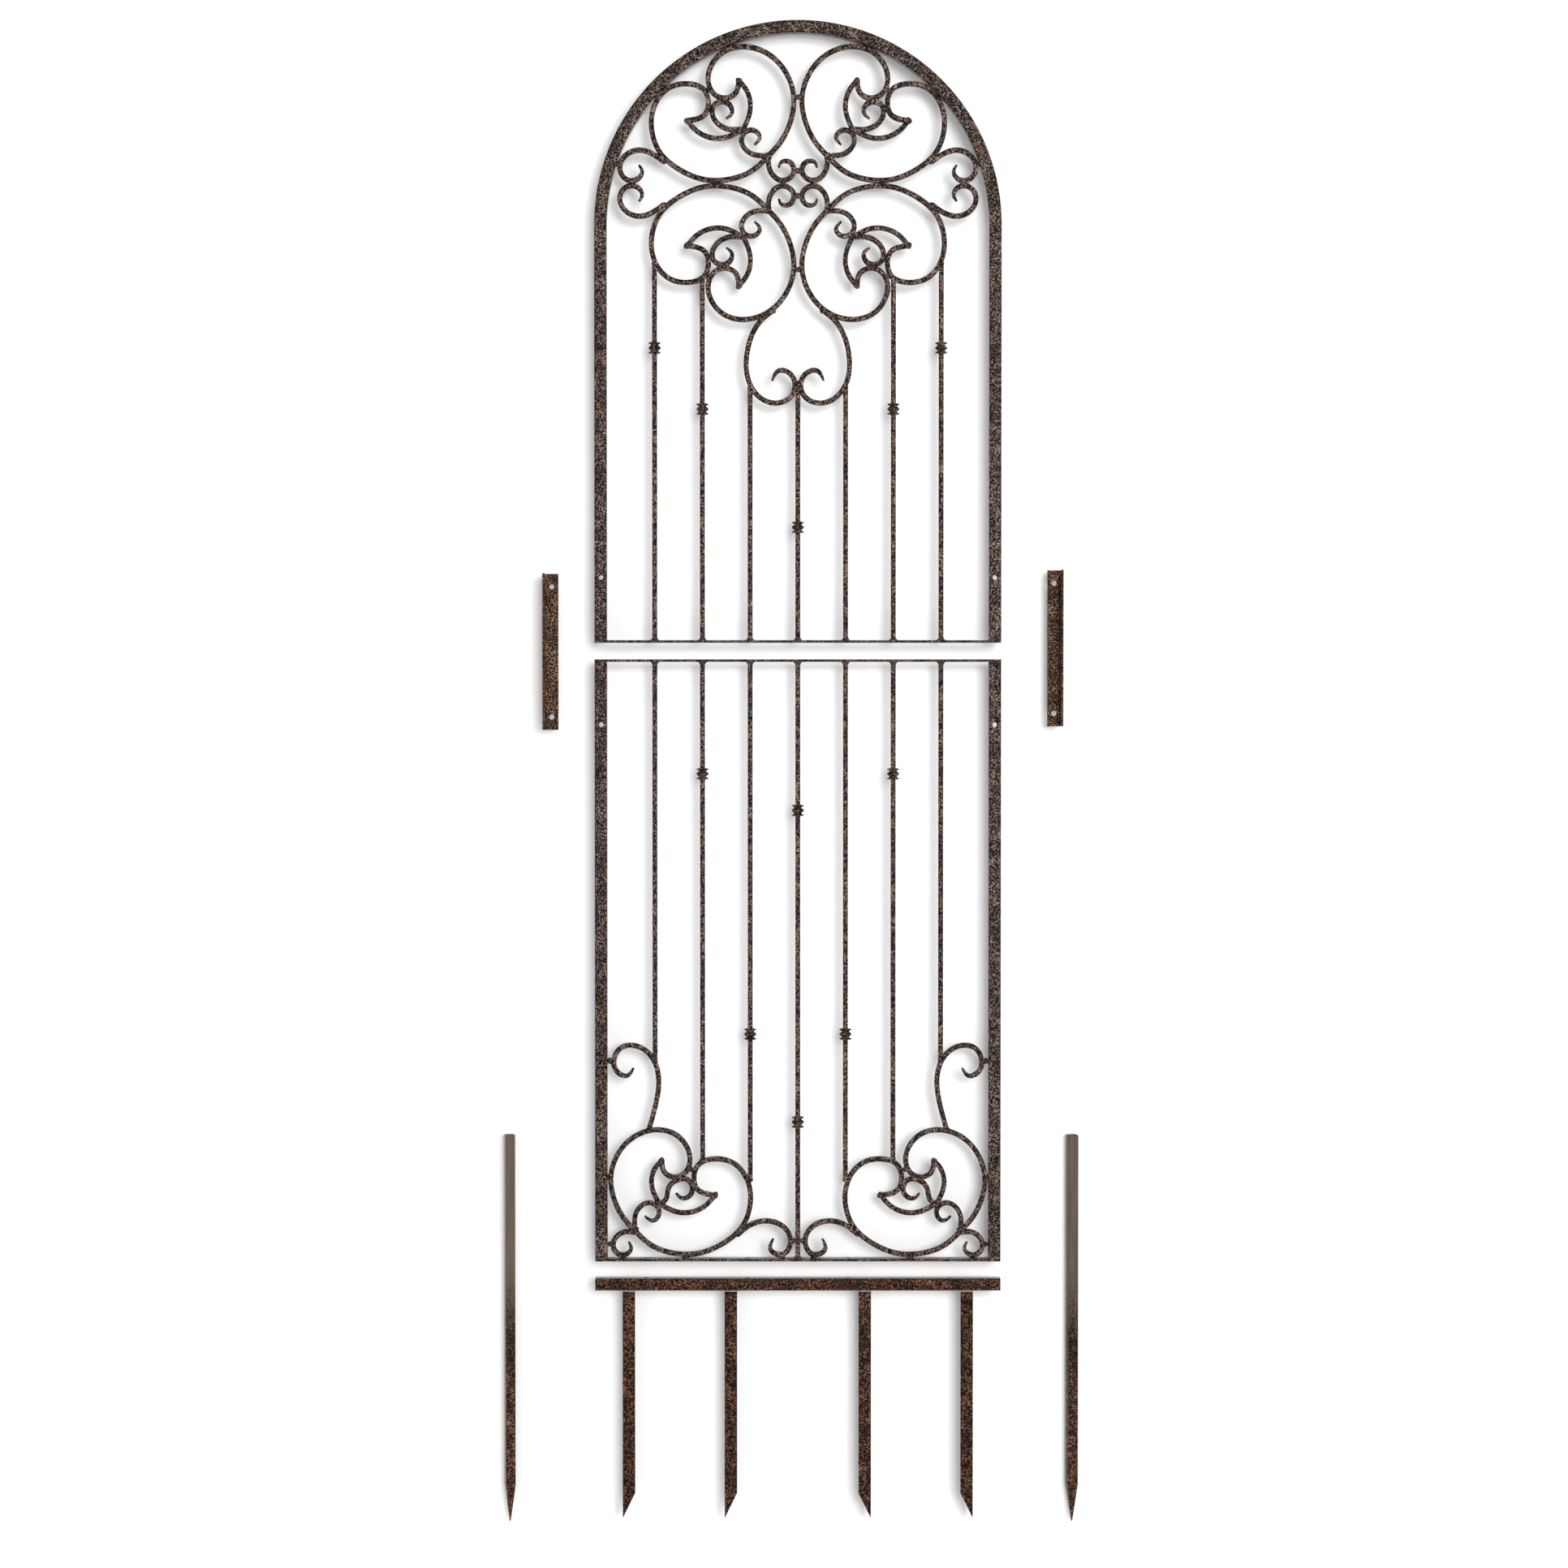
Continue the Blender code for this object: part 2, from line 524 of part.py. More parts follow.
def lower_panel():
    """The square panel's pieces, from the outside in."""
    pieces = []
    for label, side in (("left", -1), ("right", 1)):
        spot = (side * TUBE_CENTRE, 0.0, LOWER_HEIGHT - BOLT_REACH)
        hole = partial(drill, spot, BOLT_HOLE, 2 * TUBE_SIDE, "Y")
        pieces.append((f"lower_{label}_tube", [partial(side_tube, side)], [hole]))
    top = LOWER_HEIGHT - RAIL_THICKNESS / 2
    top_rail = partial(block, (0.0, 0.0, top), (PANEL_WIDTH, TUBE_SIDE, RAIL_THICKNESS))
    top_holes = [partial(drill, (across, 0.0, top), RAIL_HOLE, 0.02, "Z") for across in SEAM_HOLES]
    bottom_size = (CLEAR_WIDTH - 2 * GAP, TUBE_SIDE, RAIL_THICKNESS)
    bottom_rail = partial(block, (0.0, 0.0, RAIL_THICKNESS / 2), bottom_size)
    bottom_holes = [partial(drill, (across, 0.0, 0.0), RAIL_HOLE, 0.02, "Z") for across in BASE_HOLE_PLACES]
    pieces += [("lower_top_rail", [top_rail], top_holes), ("lower_bottom_rail", [bottom_rail], bottom_holes)]
    pieces.append(lower_bar(4))
    motifs = [Motif(f"foot_{label}", (side * FOOT_STEM[0] * SCROLL, FOOT_STEM[1] * SCROLL), -side, 1, -1,
                    FOOT_NARROW_SHARE) for label, side in (("left", -1), ("right", 1))]
    rods = [motif.rods() for motif in motifs]
    wall = CLEAR_WIDTH / 2
    for side, (curls, wide, thin) in zip((-1, 1), rods):
        wide.append(partial(weld, side * 183 * SCROLL, RAIL_THICKNESS + 0.001, 0.012, 0.006))
        thin.append(partial(weld, side * (wall - 0.001), 136.5 * SCROLL, 0.006, 0.009))
    for part, kind in enumerate(("curls", "wide_loop", "narrow_loop")):
        pieces += [(f"{motif.name}_{kind}", rods[index][part], []) for index, motif in enumerate(motifs)]
    # How far the scrolls' middle lines stand from the frame, the middle bar's line and the panel's bottom.
    frame_side, base_side, base_foot, corner_foot = 10.4 * SCROLL, 12 * SCROLL, 9.8 * SCROLL, 9 * SCROLL
    for name, line, ends, lumps in (
            ("s_scroll", S_SCROLL, (SCROLL_TAPER, 1.0), [(wall - frame_side / 2, 327 * SCROLL, frame_side, 0.009)]),
            ("corner_curl", CORNER_CURL, (1.0, SCROLL_TAPER),
             [(wall - frame_side / 2, 27 * SCROLL, frame_side, 0.008),
              (286 * SCROLL, corner_foot / 2, 0.010, corner_foot)]),
            ("base_scroll", BASE_SCROLL, (1.0, SCROLL_TAPER),
             [(base_side / 2, 32 * SCROLL, base_side, 0.009), (26 * SCROLL, base_foot / 2, 0.010, base_foot)])):
        for label, side in (("left", -1), ("right", 1)):
            makers = [partial(rod, mirrored(line, side), ROD_SIDE, ends)]
            makers += [partial(weld, side * across, up, wide, tall) for across, up, wide, tall in lumps]
            pieces.append((f"{name}_{label}", makers, []))
    pieces += [lower_bar(number) for number in (1, 2, 3, 5, 6, 7)]
    return fit_pieces(pieces)


# ---- loose pieces ------------------------------------------------------------------------------------
def angle_outline(flange_x, flange_y, thickness, side=1):
    """An L section with its corner at the origin; the side turns the X flange to the left or right."""
    outline = [(0.0, 0.0), (flange_x, 0.0), (flange_x, thickness), (thickness, thickness),
               (thickness, flange_y), (0.0, flange_y)]
    return [(side * across, up) for across, up in outline]


def anchor():
    """The angle-iron bar, drilled on top, and its four legs."""
    front = -TUBE_SIDE / 2
    section = [(0.0, 0.0), (ANCHOR_THICKNESS, 0.0), (ANCHOR_THICKNESS, ANCHOR_FLANGE - ANCHOR_THICKNESS),
               (TUBE_SIDE, ANCHOR_FLANGE - ANCHOR_THICKNESS), (TUBE_SIDE, ANCHOR_FLANGE), (0.0, ANCHOR_FLANGE)]
    lengthways = Matrix(((0, 0, 1, 0), (1, 0, 0, front), (0, 1, 0, 0), (0, 0, 0, 1)))
    beam = prism(section, PANEL_WIDTH, lengthways)
    for across in BASE_HOLE_PLACES:
        combine(beam, drill((across, 0.0, ANCHOR_FLANGE), RAIL_HOLE, 0.02, "Z"), "DIFFERENCE")
    fitted = {"anchor_bar": beam}
    top = ANCHOR_FLANGE - ANCHOR_THICKNESS - GAP
    foot = -LEG_LENGTH - 0.004
    leg_front = front + ANCHOR_THICKNESS + GAP
    slant = atan2(LEG_CUT, LEG_WIDTH)
    for number, across in enumerate(LEG_PLACES, start=1):
        side = 1 if across < 0 else -1                      # the corner is on the leg's outer edge
        corner = across - side * LEG_WIDTH / 2
        outline = angle_outline(LEG_WIDTH, LEG_WIDTH, ANCHOR_THICKNESS, side)
        place = Matrix.Translation((corner, leg_front, (top + foot) / 2))
        leg = prism(outline, top - foot, place)
        reach = 0.2
        middle = (corner + reach / 2 * sin(slant) * side, 0.0, -LEG_LENGTH - reach / 2 * cos(slant))
        combine(leg, block(middle, (reach, 0.1, reach), side * slant), "DIFFERENCE")
        fitted[f"anchor_leg_{number}"] = leg
    return fitted


def connector(side):
    """An angle iron that wraps the outside and the back of both tubes, drilled to match them."""
    back = TUBE_SIDE / 2 + FIT + CONNECTOR_THICKNESS
    outer = side * (PANEL_WIDTH / 2 + FIT + CONNECTOR_THICKNESS + CONNECTOR_ASIDE[side])
    outline = [(-side * across, -up) for across, up in
               angle_outline(CONNECTOR_FLANGE, CONNECTOR_FLANGE, CONNECTOR_THICKNESS)]
    height = LOWER_HEIGHT + CONNECTOR_RAISED[side]
    iron = prism(outline, CONNECTOR_LENGTH, Matrix.Translation((outer, back, height)))
    hole_across = outer - side * (FIT + CONNECTOR_THICKNESS + TUBE_SIDE / 2)
    for flip in (-1, 1):
        spot = (hole_across, back, height + flip * BOLT_REACH)
        combine(iron, drill(spot, BOLT_HOLE, 0.02, "Y"), "DIFFERENCE")
    return iron


def stake(side):
    """A square tube with a four-sided point, open at the top."""
    corner = STAKE_SIDE / sqrt(2)
    profile = [(0.0, STAKE_TOP), (corner, STAKE_TOP), (corner, -STAKE_SHOULDER),
               (STAKE_TIP / sqrt(2), -STAKE_POINT), (0.0, -STAKE_POINT)]
    pole = turned(profile, 4, pi / 4)
    bore = STAKE_SIDE - 2 * STAKE_WALL
    depth = STAKE_TOP + STAKE_SHOULDER
    combine(pole, block((0.0, 0.0, STAKE_TOP - depth / 2 + 0.01), (bore, bore, depth + 0.02)), "DIFFERENCE")
    behind = TUBE_SIDE / 2 + FIT + STAKE_SIDE / 2 * (cos(STAKE_TURN) + sin(STAKE_TURN))
    place = Matrix.Translation((side * (TUBE_CENTRE + STAKE_ASIDE[side]), behind, 0.0))
    pole.data.transform(place @ Matrix.Rotation(STAKE_TURN, 4, "Z"))
    return pole


# ---- the whole kit -----------------------------------------------------------------------------------
def coat(name):
    """A painted-metal material for one piece."""
    colour, roughness, metallic = FINISHES[name]
    paint = bpy.data.materials.new(name)
    paint.use_nodes = True
    shader = paint.node_tree.nodes["Principled BSDF"]
    shader.inputs["Base Color"].default_value = (*colour, 1.0)
    shader.inputs["Roughness"].default_value = roughness
    shader.inputs["Metallic"].default_value = metallic
    return paint


def finish_body(body, place, pieces, coat_name):
    """Name a body's pieces, paint them and hang them from an empty on the body's joint."""
    joint = bpy.data.objects.new(f"{body}_joint", None)
    joint.location = place
    KIT.objects.link(joint)
    for name, solid in pieces.items():
        BENCH.objects.unlink(solid)
        KIT.objects.link(solid)
        solid.name = name
        solid.data.name = name
        solid.hide_render = False
        solid.display_type = "TEXTURED"
        solid.data.materials.clear()
        solid.data.materials.append(coat(coat_name))
        solid.data.shade_smooth()
        solid.data.set_sharp_from_angle(angle=radians(35))
        solid.parent = joint
    return joint


def build_kit():
    finish_body("anchor", (0.0, 0.0, 0.0), anchor(), "anchor_coat")
    lower = finish_body("lower_panel", (0.0, 0.0, LOWER_LIFT), lower_panel(), "bronze_coat")
    upper = finish_body("upper_panel", (0.0, 0.0, UPPER_LIFT - LOWER_LIFT), upper_panel(), "bronze_coat")
    upper.parent = lower
    for label, side in (("left", -1), ("right", 1)):
        iron = {f"{label}_connector": connector(side)}
        finish_body(f"{label}_connector", (0.0, 0.0, 0.0), iron, "connector_coat").parent = lower
        finish_body(f"{label}_stake", (0.0, 0.0, 0.0), {f"{label}_stake": stake(side)}, "stake_coat")
    bpy.context.view_layer.update()


clear_scene()
KIT = new_collection("metal_trellis_arch")
BENCH = new_collection("bench")
build_kit()
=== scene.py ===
# %% [markdown]
# # A knock-down metal trellis, laid out as a kit
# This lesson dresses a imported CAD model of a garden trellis: two wrought panels, two angle connectors,
# a legged ground anchor and two stakes.  The CAD model fixes every size and every joint.  Its own
# meshes could be painted and left, but flat facets that serve a physics model would catch the light, so
# each piece is made again here as a fine surface.

# %% Load the frame
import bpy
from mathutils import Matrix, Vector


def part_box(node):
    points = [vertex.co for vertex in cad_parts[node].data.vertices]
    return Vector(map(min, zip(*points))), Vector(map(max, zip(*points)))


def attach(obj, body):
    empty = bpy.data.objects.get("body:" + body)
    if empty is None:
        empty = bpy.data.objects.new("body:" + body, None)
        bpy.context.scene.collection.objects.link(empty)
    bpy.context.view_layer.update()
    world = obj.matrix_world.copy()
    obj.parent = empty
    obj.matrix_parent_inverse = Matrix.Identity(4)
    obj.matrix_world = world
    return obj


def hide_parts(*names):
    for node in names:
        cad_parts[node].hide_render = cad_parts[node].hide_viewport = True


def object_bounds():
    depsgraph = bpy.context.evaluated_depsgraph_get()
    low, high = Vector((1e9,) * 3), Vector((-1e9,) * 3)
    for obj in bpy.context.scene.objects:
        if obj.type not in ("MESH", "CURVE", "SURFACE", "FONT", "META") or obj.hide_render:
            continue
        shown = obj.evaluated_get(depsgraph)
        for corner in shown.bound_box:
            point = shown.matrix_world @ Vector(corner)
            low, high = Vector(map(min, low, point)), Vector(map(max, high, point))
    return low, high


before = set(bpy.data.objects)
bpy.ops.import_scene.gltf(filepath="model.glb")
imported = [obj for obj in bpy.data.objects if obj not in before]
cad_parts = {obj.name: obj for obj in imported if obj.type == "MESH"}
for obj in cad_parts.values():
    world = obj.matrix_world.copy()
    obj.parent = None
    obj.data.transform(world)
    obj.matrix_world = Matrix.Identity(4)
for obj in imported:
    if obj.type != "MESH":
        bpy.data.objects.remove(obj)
CAD_BOX = [list(corner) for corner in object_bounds()]

from math import atan2, cos, pi, radians, sin

import bmesh
import bpy
import numpy as np
from mathutils import Vector

# %% [markdown]
# ## Where things are
# The places could be typed in as numbers, but then a change of the CAD model would leave the fine
# pieces behind, so nearly every one is measured on it. The half-round top of the frame gives the
# centre of the arch, and all the scrollwork hangs from that point and from the two bottom rails.

# %% Measure the CAD model
MM = 0.001
DRAWN_WIDTH = 621.9             # the outlines below are drawn for this clear width, in millimetres
CREST_RISE = 68.5               # from the centre of the arch up to the middle of the crest, as drawn


def corners(node):
    """The lowest and highest corner of a CAD node, as arrays."""
    return np.array(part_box(node)[0]), np.array(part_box(node)[1])


ARCH_LOW, ARCH_HIGH = corners("upper_frame_tube")
TUBE_LOW, TUBE_HIGH = corners("lower_left_tube")
HALF_WIDTH = ARCH_HIGH[0]
TUBE = TUBE_HIGH[0] - TUBE_LOW[0]
TUBE_LINE = HALF_WIDTH - TUBE / 2
CLEAR = 2 * (HALF_WIDTH - TUBE)
PITCH = CLEAR / 8
ARCH_CENTRE = ARCH_HIGH[2] - HALF_WIDTH
UPPER_FOOT = corners("upper_bottom_rail")[0][2]
LOWER_FOOT, LOWER_TOP = corners("lower_bottom_rail")[0][2], corners("lower_top_rail")[1][2]
SCROLL = CLEAR / DRAWN_WIDTH
CREST = ARCH_CENTRE + CREST_RISE * SCROLL
BAR = corners("lower_bar_1")[1][0] - corners("lower_bar_1")[0][0]
ROD = corners("centre_rosette")[1][1] - corners("centre_rosette")[0][1]
print("half width", round(HALF_WIDTH, 4), "arch centre", round(ARCH_CENTRE, 4), "crest", round(CREST, 4))
print("rods are", round(ROD / MM, 2), "mm square and bars", round(BAR / MM, 2), "mm")

# %% [markdown]
# ## Smooth lines
# A smith bends a rod round a form, and the bend changes gently along it.  Arcs joined end to end would
# jump from one bend to the next.  A natural cubic spline doesn't: it is the line that a thin springy
# lath takes through a few pegs, and a handful of points is enough for a scroll.


# %% A springy line
def spline(points, count=1200):
    """A natural cubic spline.  With m the second derivative at each point and h the distance to the next one,
    m solves h0*m0 + 2*(h0 + h1)*m1 + h1*m2 = 6*(slope1 - slope0), and each span is the cubic that has the
    values of m at its ends."""
    p = np.array(points, dtype=float)
    knots = lengths(p)
    h = np.diff(knots)
    system = np.diag(np.concatenate([[1.0], 2 * (h[:-1] + h[1:]), [1.0]]))
    system += np.diag(np.concatenate([h[:-1], [0.0]]), -1) + np.diag(np.concatenate([[0.0], h[1:]]), 1)
    bends = np.zeros_like(p)
    bends[1:-1] = 6 * np.diff(np.diff(p, axis=0) / h[:, None], axis=0)
    m = np.linalg.solve(system, bends)
    t = np.linspace(0.0, knots[-1], count)
    k = np.clip(np.searchsorted(knots, t, side="right") - 1, 0, len(h) - 1)
    a, b, w = (knots[k + 1] - t)[:, None], (t - knots[k])[:, None], h[k][:, None]
    bent = (m[k] * a ** 3 + m[k + 1] * b ** 3) / (6 * w)
    return bent + (p[k] / w - m[k] * w / 6) * a + (p[k + 1] / w - m[k + 1] * w / 6) * b


def lengths(path):
    """The distance along a path at each of its points."""
    return np.concatenate([[0.0], np.cumsum(np.hypot(*np.diff(path, axis=0).T))])


QUARTER = [(0, 0.05), (0.035, 0.035), (0.05, 0)]
print("a quarter circle is", round(lengths(spline(QUARTER))[-1] / MM, 1), "mm long")

# %% [markdown]
# ## Few steps and many
# The spline gives over a thousand points.  Taking every tenth would waste faces on the straight runs
# and starve the tight curls, so the line is walked again in steps that are short where it bends.


# %% Steps along a line
def stepped(path, reach=0.006, bend=radians(4.5), nose=(0.0004, 0.001)):
    """Steps along a path: the cost of a stretch is the larger of its length over the reach and its turning
    over the bend, and the steps share the cost evenly.  A few more lie close to each end."""
    moves = np.diff(path, axis=0)
    headings = np.unwrap(np.arctan2(moves[:, 1], moves[:, 0]))
    turning = np.abs(np.diff(headings, append=headings[-1]))
    cost = np.concatenate([[0.0], np.cumsum(np.maximum(np.hypot(*moves.T) / reach, turning / bend))])
    along = lengths(path)
    marks = np.interp(np.linspace(0.0, cost[-1], max(3, int(cost[-1]))), cost, along)
    marks = np.unique(np.concatenate([marks, nose, along[-1] - np.array(nose)]))
    return np.stack([np.interp(marks, along, path[:, axis]) for axis in (0, 1)], axis=1)


def straight(start, end, count, reach):
    """Steps along the straight line between two points."""
    return stepped(np.linspace(start, end, count), reach)


print("and takes", len(stepped(spline(QUARTER))), "steps")

# %% [markdown]
# ## Flat profiles
# Tube, bar, rail, angle iron and scroll rod are all rolled or drawn metal, so each has one flat profile
# with rounded corners from end to end.  A Bevel modifier could round them, but it would also round the
# cut ends, which stay crisp on real stock, so the corners are rounded in the profile itself.


# %% Profiles with round corners
def softened(outline, radius, steps=4):
    """A flat outline with round corners.  A corner v becomes (1-t)^2*a + 2t(1-t)*v + t^2*b, where a and b lie
    the radius away from v on its two sides and t runs from 0 to 1."""
    v = np.array(outline, dtype=float)
    last, following = np.roll(v, 1, axis=0) - v, np.roll(v, -1, axis=0) - v
    a = v + radius * last / np.linalg.norm(last, axis=1)[:, None]
    b = v + radius * following / np.linalg.norm(following, axis=1)[:, None]
    t = np.linspace(0.0, 1.0, steps)[None, :, None]
    return ((1 - t) ** 2 * a[:, None] + 2 * t * (1 - t) * v[:, None] + t ** 2 * b[:, None]).reshape(-1, 2)


def box_profile(width, depth, radius, steps=4):
    """A rectangle about the origin with round corners."""
    w, d = width / 2, depth / 2
    return softened([(w, -d), (w, d), (-w, d), (-w, -d)], radius, steps)


SQUARE_ROD = box_profile(ROD, ROD, 1.6 * MM)
SQUARE_BAR = box_profile(BAR, BAR, 1.3 * MM)
print("the rod's profile has", len(SQUARE_ROD), "points")

# %% [markdown]
# ## Profiles carried along lines
# The Curve object can sweep a profile too, but a grid worked out with numpy leaves room for a drawn-out
# tip, a slant cut or a wobble from the hammer, and it gives clean rows of faces.


# %% Carry a profile
def carry(profile, path, share=1.0, middle=0.0):
    """P(i, j) = path(i) + share(i) * (a(j) * N(i) + b(j) * Y): the profile point (a, b) stands a along the
    path's own normal N, which is its heading turned a quarter, and b along Y, before or behind the middle."""
    heading = np.gradient(path, axis=0)
    heading /= np.linalg.norm(heading, axis=1)[:, None]
    share = np.broadcast_to(share, len(path))[:, None]
    grid = np.empty((len(path), len(profile), 3))
    grid[..., 0] = path[:, :1] - share * heading[:, 1:] * profile[:, 0]
    grid[..., 1] = middle + share * profile[:, 1]
    grid[..., 2] = path[:, 1:] + share * heading[:, :1] * profile[:, 0]
    return grid


def shell(grid, ring=False):
    """Vertices and faces of a grid whose columns close round.  Its first and last rows are capped, or meet
    each other when the grid is a ring."""
    number = np.arange(grid.shape[0] * grid.shape[1]).reshape(grid.shape[:2])
    near, far = (number, np.roll(number, -1, axis=0)) if ring else (number[:-1], number[1:])
    quads = np.stack([near, far, np.roll(far, -1, axis=1), np.roll(near, -1, axis=1)], axis=-1)
    faces = quads.reshape(-1, 4).tolist()
    if not ring:
        faces += [number[0].tolist(), number[-1, ::-1].tolist()]
    return grid.reshape(-1, 3), faces


SAMPLE = shell(carry(SQUARE_ROD, straight((0.0, 0.0), (0.0, 0.1), 20, 0.03)))
print("a straight 100 mm rod has", len(SAMPLE[1]), "faces")

# %% [markdown]
# ## Closed meshes and drilled holes
# A grid can run either way round, and a face that looks inwards renders dark, so every shell has its
# faces turned outwards once it is a mesh.  A drilled hole is the one thing that a grid can't do.
# Cutting it by hand would mean new rows round each hole, so there an exact Boolean takes over.


# %% Mesh and drill
HOLE_SIDES = 32


def closed_mesh(name, spots, faces):
    """A mesh of closed shells with all faces outwards."""
    mesh = bpy.data.meshes.new(name)
    mesh.from_pydata(spots.tolist(), [], faces)
    shape = bmesh.new()
    shape.from_mesh(mesh)
    bmesh.ops.recalc_face_normals(shape, faces=shape.faces)
    shape.to_mesh(mesh)
    shape.free()
    return mesh


def drilled(mesh, holes):
    """Cuts round holes through a mesh.  A hole is a middle, a radius, a length and the axis "Y" or "Z"."""
    solid = bpy.data.objects.new("blank", mesh)
    bpy.context.scene.collection.objects.link(solid)
    for middle, radius, length, axis in holes:
        turn = np.linspace(0.0, 2 * pi, HOLE_SIDES, endpoint=False)
        grid = np.zeros((2, HOLE_SIDES, 3))
        first, second, along = (0, 2, 1) if axis == "Y" else (0, 1, 2)
        grid[..., first], grid[..., second] = radius * np.cos(turn), radius * np.sin(turn)
        grid[0, :, along], grid[1, :, along] = -length / 2, length / 2
        cutter = bpy.data.objects.new("cutter", closed_mesh("cutter", *shell(grid + np.array(middle))))
        bpy.context.scene.collection.objects.link(cutter)
        cut = solid.modifiers.new("cut", "BOOLEAN")
        cut.operation, cut.solver, cut.object = "DIFFERENCE", "EXACT", cutter
        bpy.context.view_layer.update()
        shaped = solid.evaluated_get(bpy.context.evaluated_depsgraph_get())
        solid.data = bpy.data.meshes.new_from_object(shaped)
        solid.modifiers.clear()
        bpy.data.objects.remove(cutter)
    result = solid.data
    bpy.data.objects.remove(solid)
    return result


sample = drilled(closed_mesh("sample", *SAMPLE), [((0.0, 0.0, 0.05), 2 * MM, 20 * MM, "Y")])
print("drilled once it has", len(sample.polygons), "faces")
bpy.data.meshes.remove(sample)

# %% [markdown]
# ## Turning shells into pieces
# A scroll is several closed shells: a loop, its leaf and the welds that hold them.  They could be
# joined into one skin, but the seams would lose the crisp line that paint leaves round a weld, so they
# stay whole shells in one mesh.  Weld metal looks a little different under the same paint, so each
# vertex carries a number, 1 on a weld and 0 elsewhere, for the materials to read.

# %% Make a piece
SHARP_EDGE = radians(38)


def make_piece(node, shells, welds, body, coat, holes=(), weld_mark=1.0):
    """One finished piece that stands for a CAD node, rides on its body and wears its coat.  A drilled piece
    has no welds of its own, so its marks stay 0."""
    spots, faces, marks, start = [], [], [], 0
    for mark, group in ((0.0, shells), (weld_mark, welds)):
        for points, sides in group:
            spots.append(points)
            faces += [[start + corner for corner in side] for side in sides]
            marks.append(np.full(len(points), mark))
            start += len(points)
    mesh = closed_mesh(node + "_finish", np.concatenate(spots), faces)
    if holes:
        mesh = drilled(mesh, holes)
    layer = mesh.attributes.new("weld", "FLOAT", "POINT")
    if not holes:
        layer.data.foreach_set("value", np.concatenate(marks).astype(np.float32))
    mesh.shade_smooth()
    mesh.set_sharp_from_angle(angle=SHARP_EDGE)
    mesh.materials.clear()
    mesh.materials.append(coat)
    piece = bpy.data.objects.new(node + "_finish", mesh)
    bpy.context.scene.collection.objects.link(piece)
    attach(piece, body)
    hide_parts(node)
    return piece


print("edges sharper than", round(SHARP_EDGE, 2), "radians stay crisp")

# %% [markdown]
# ## Helpers for shader nodes
# A material is a tree of small nodes.  They could be placed and linked one line at a time, but three
# helpers make a recipe read like a sentence: one adds a node with its values and links, one blends two
# colours, and one eases a value from one range to another.


# %% Node helpers
def node(tree, kind, values=None, **settings):
    """A node with its settings, its constants and its links: a value that is a socket becomes a link."""
    made = tree.nodes.new("ShaderNode" + kind)
    for name, setting in settings.items():
        setattr(made, name, setting)
    for name, value in (values or {}).items():
        feed(tree, value, made.inputs[name])
    return made


def feed(tree, value, socket):
    """Links a socket to another one, or gives it a constant."""
    if isinstance(value, bpy.types.NodeSocket):
        tree.links.new(value, socket)
    else:
        socket.default_value = value


def noise(tree, place, scale, detail, **more):
    """A noise of a scale and a detail over a place."""
    values = {"Vector": place, "Scale": scale, "Detail": detail} | more
    return node(tree, "TexNoise", values).outputs["Fac"]


def scaled(tree, colour, factor):
    """A colour made lighter or darker by a factor."""
    return node(tree, "VectorMath", {0: colour, "Scale": factor}, operation="SCALE").outputs[0]


def colour_mix(tree, factor, first, second):
    """A colour between two others."""
    return node(tree, "Mix", {0: factor, 6: first, 7: second}, data_type="RGBA").outputs[2]


def ramp(tree, value, low, high, to_low=0.0, to_high=1.0):
    """A value eased from one range to another."""
    eased = node(tree, "MapRange", {0: value, 1: low, 2: high, 3: to_low, 4: to_high},
                 interpolation_type="SMOOTHSTEP")
    return eased.outputs[0]


print("helpers:", node.__name__, noise.__name__, colour_mix.__name__, ramp.__name__)

# %% [markdown]
# ## The hammered coat
# The paint is a hammertone: while it dries it draws together into small pools, dark brown with taupe
# crests.  A Voronoi pattern would give cells that are too alike, so a noise with cells a couple of
# millimetres wide gives the pools, a finer one breaks up their edges, and slow ones drift from
# grey-brown to red-brown and from light to dark along the metal.  The same pools lift the surface
# through a bump, and the crests are a little shinier.  Every finish needs this, so it is one node
# group, built once.

# %% The node group for the coat
FILLED_WELD = (0.075, 0.058, 0.052, 1)
# painted highlight: a pale colour for the seam beads of the anchor, in place of the light along that joint
PAINTED_SEAM_HIGHLIGHT = (0.30, 0.27, 0.24, 1)


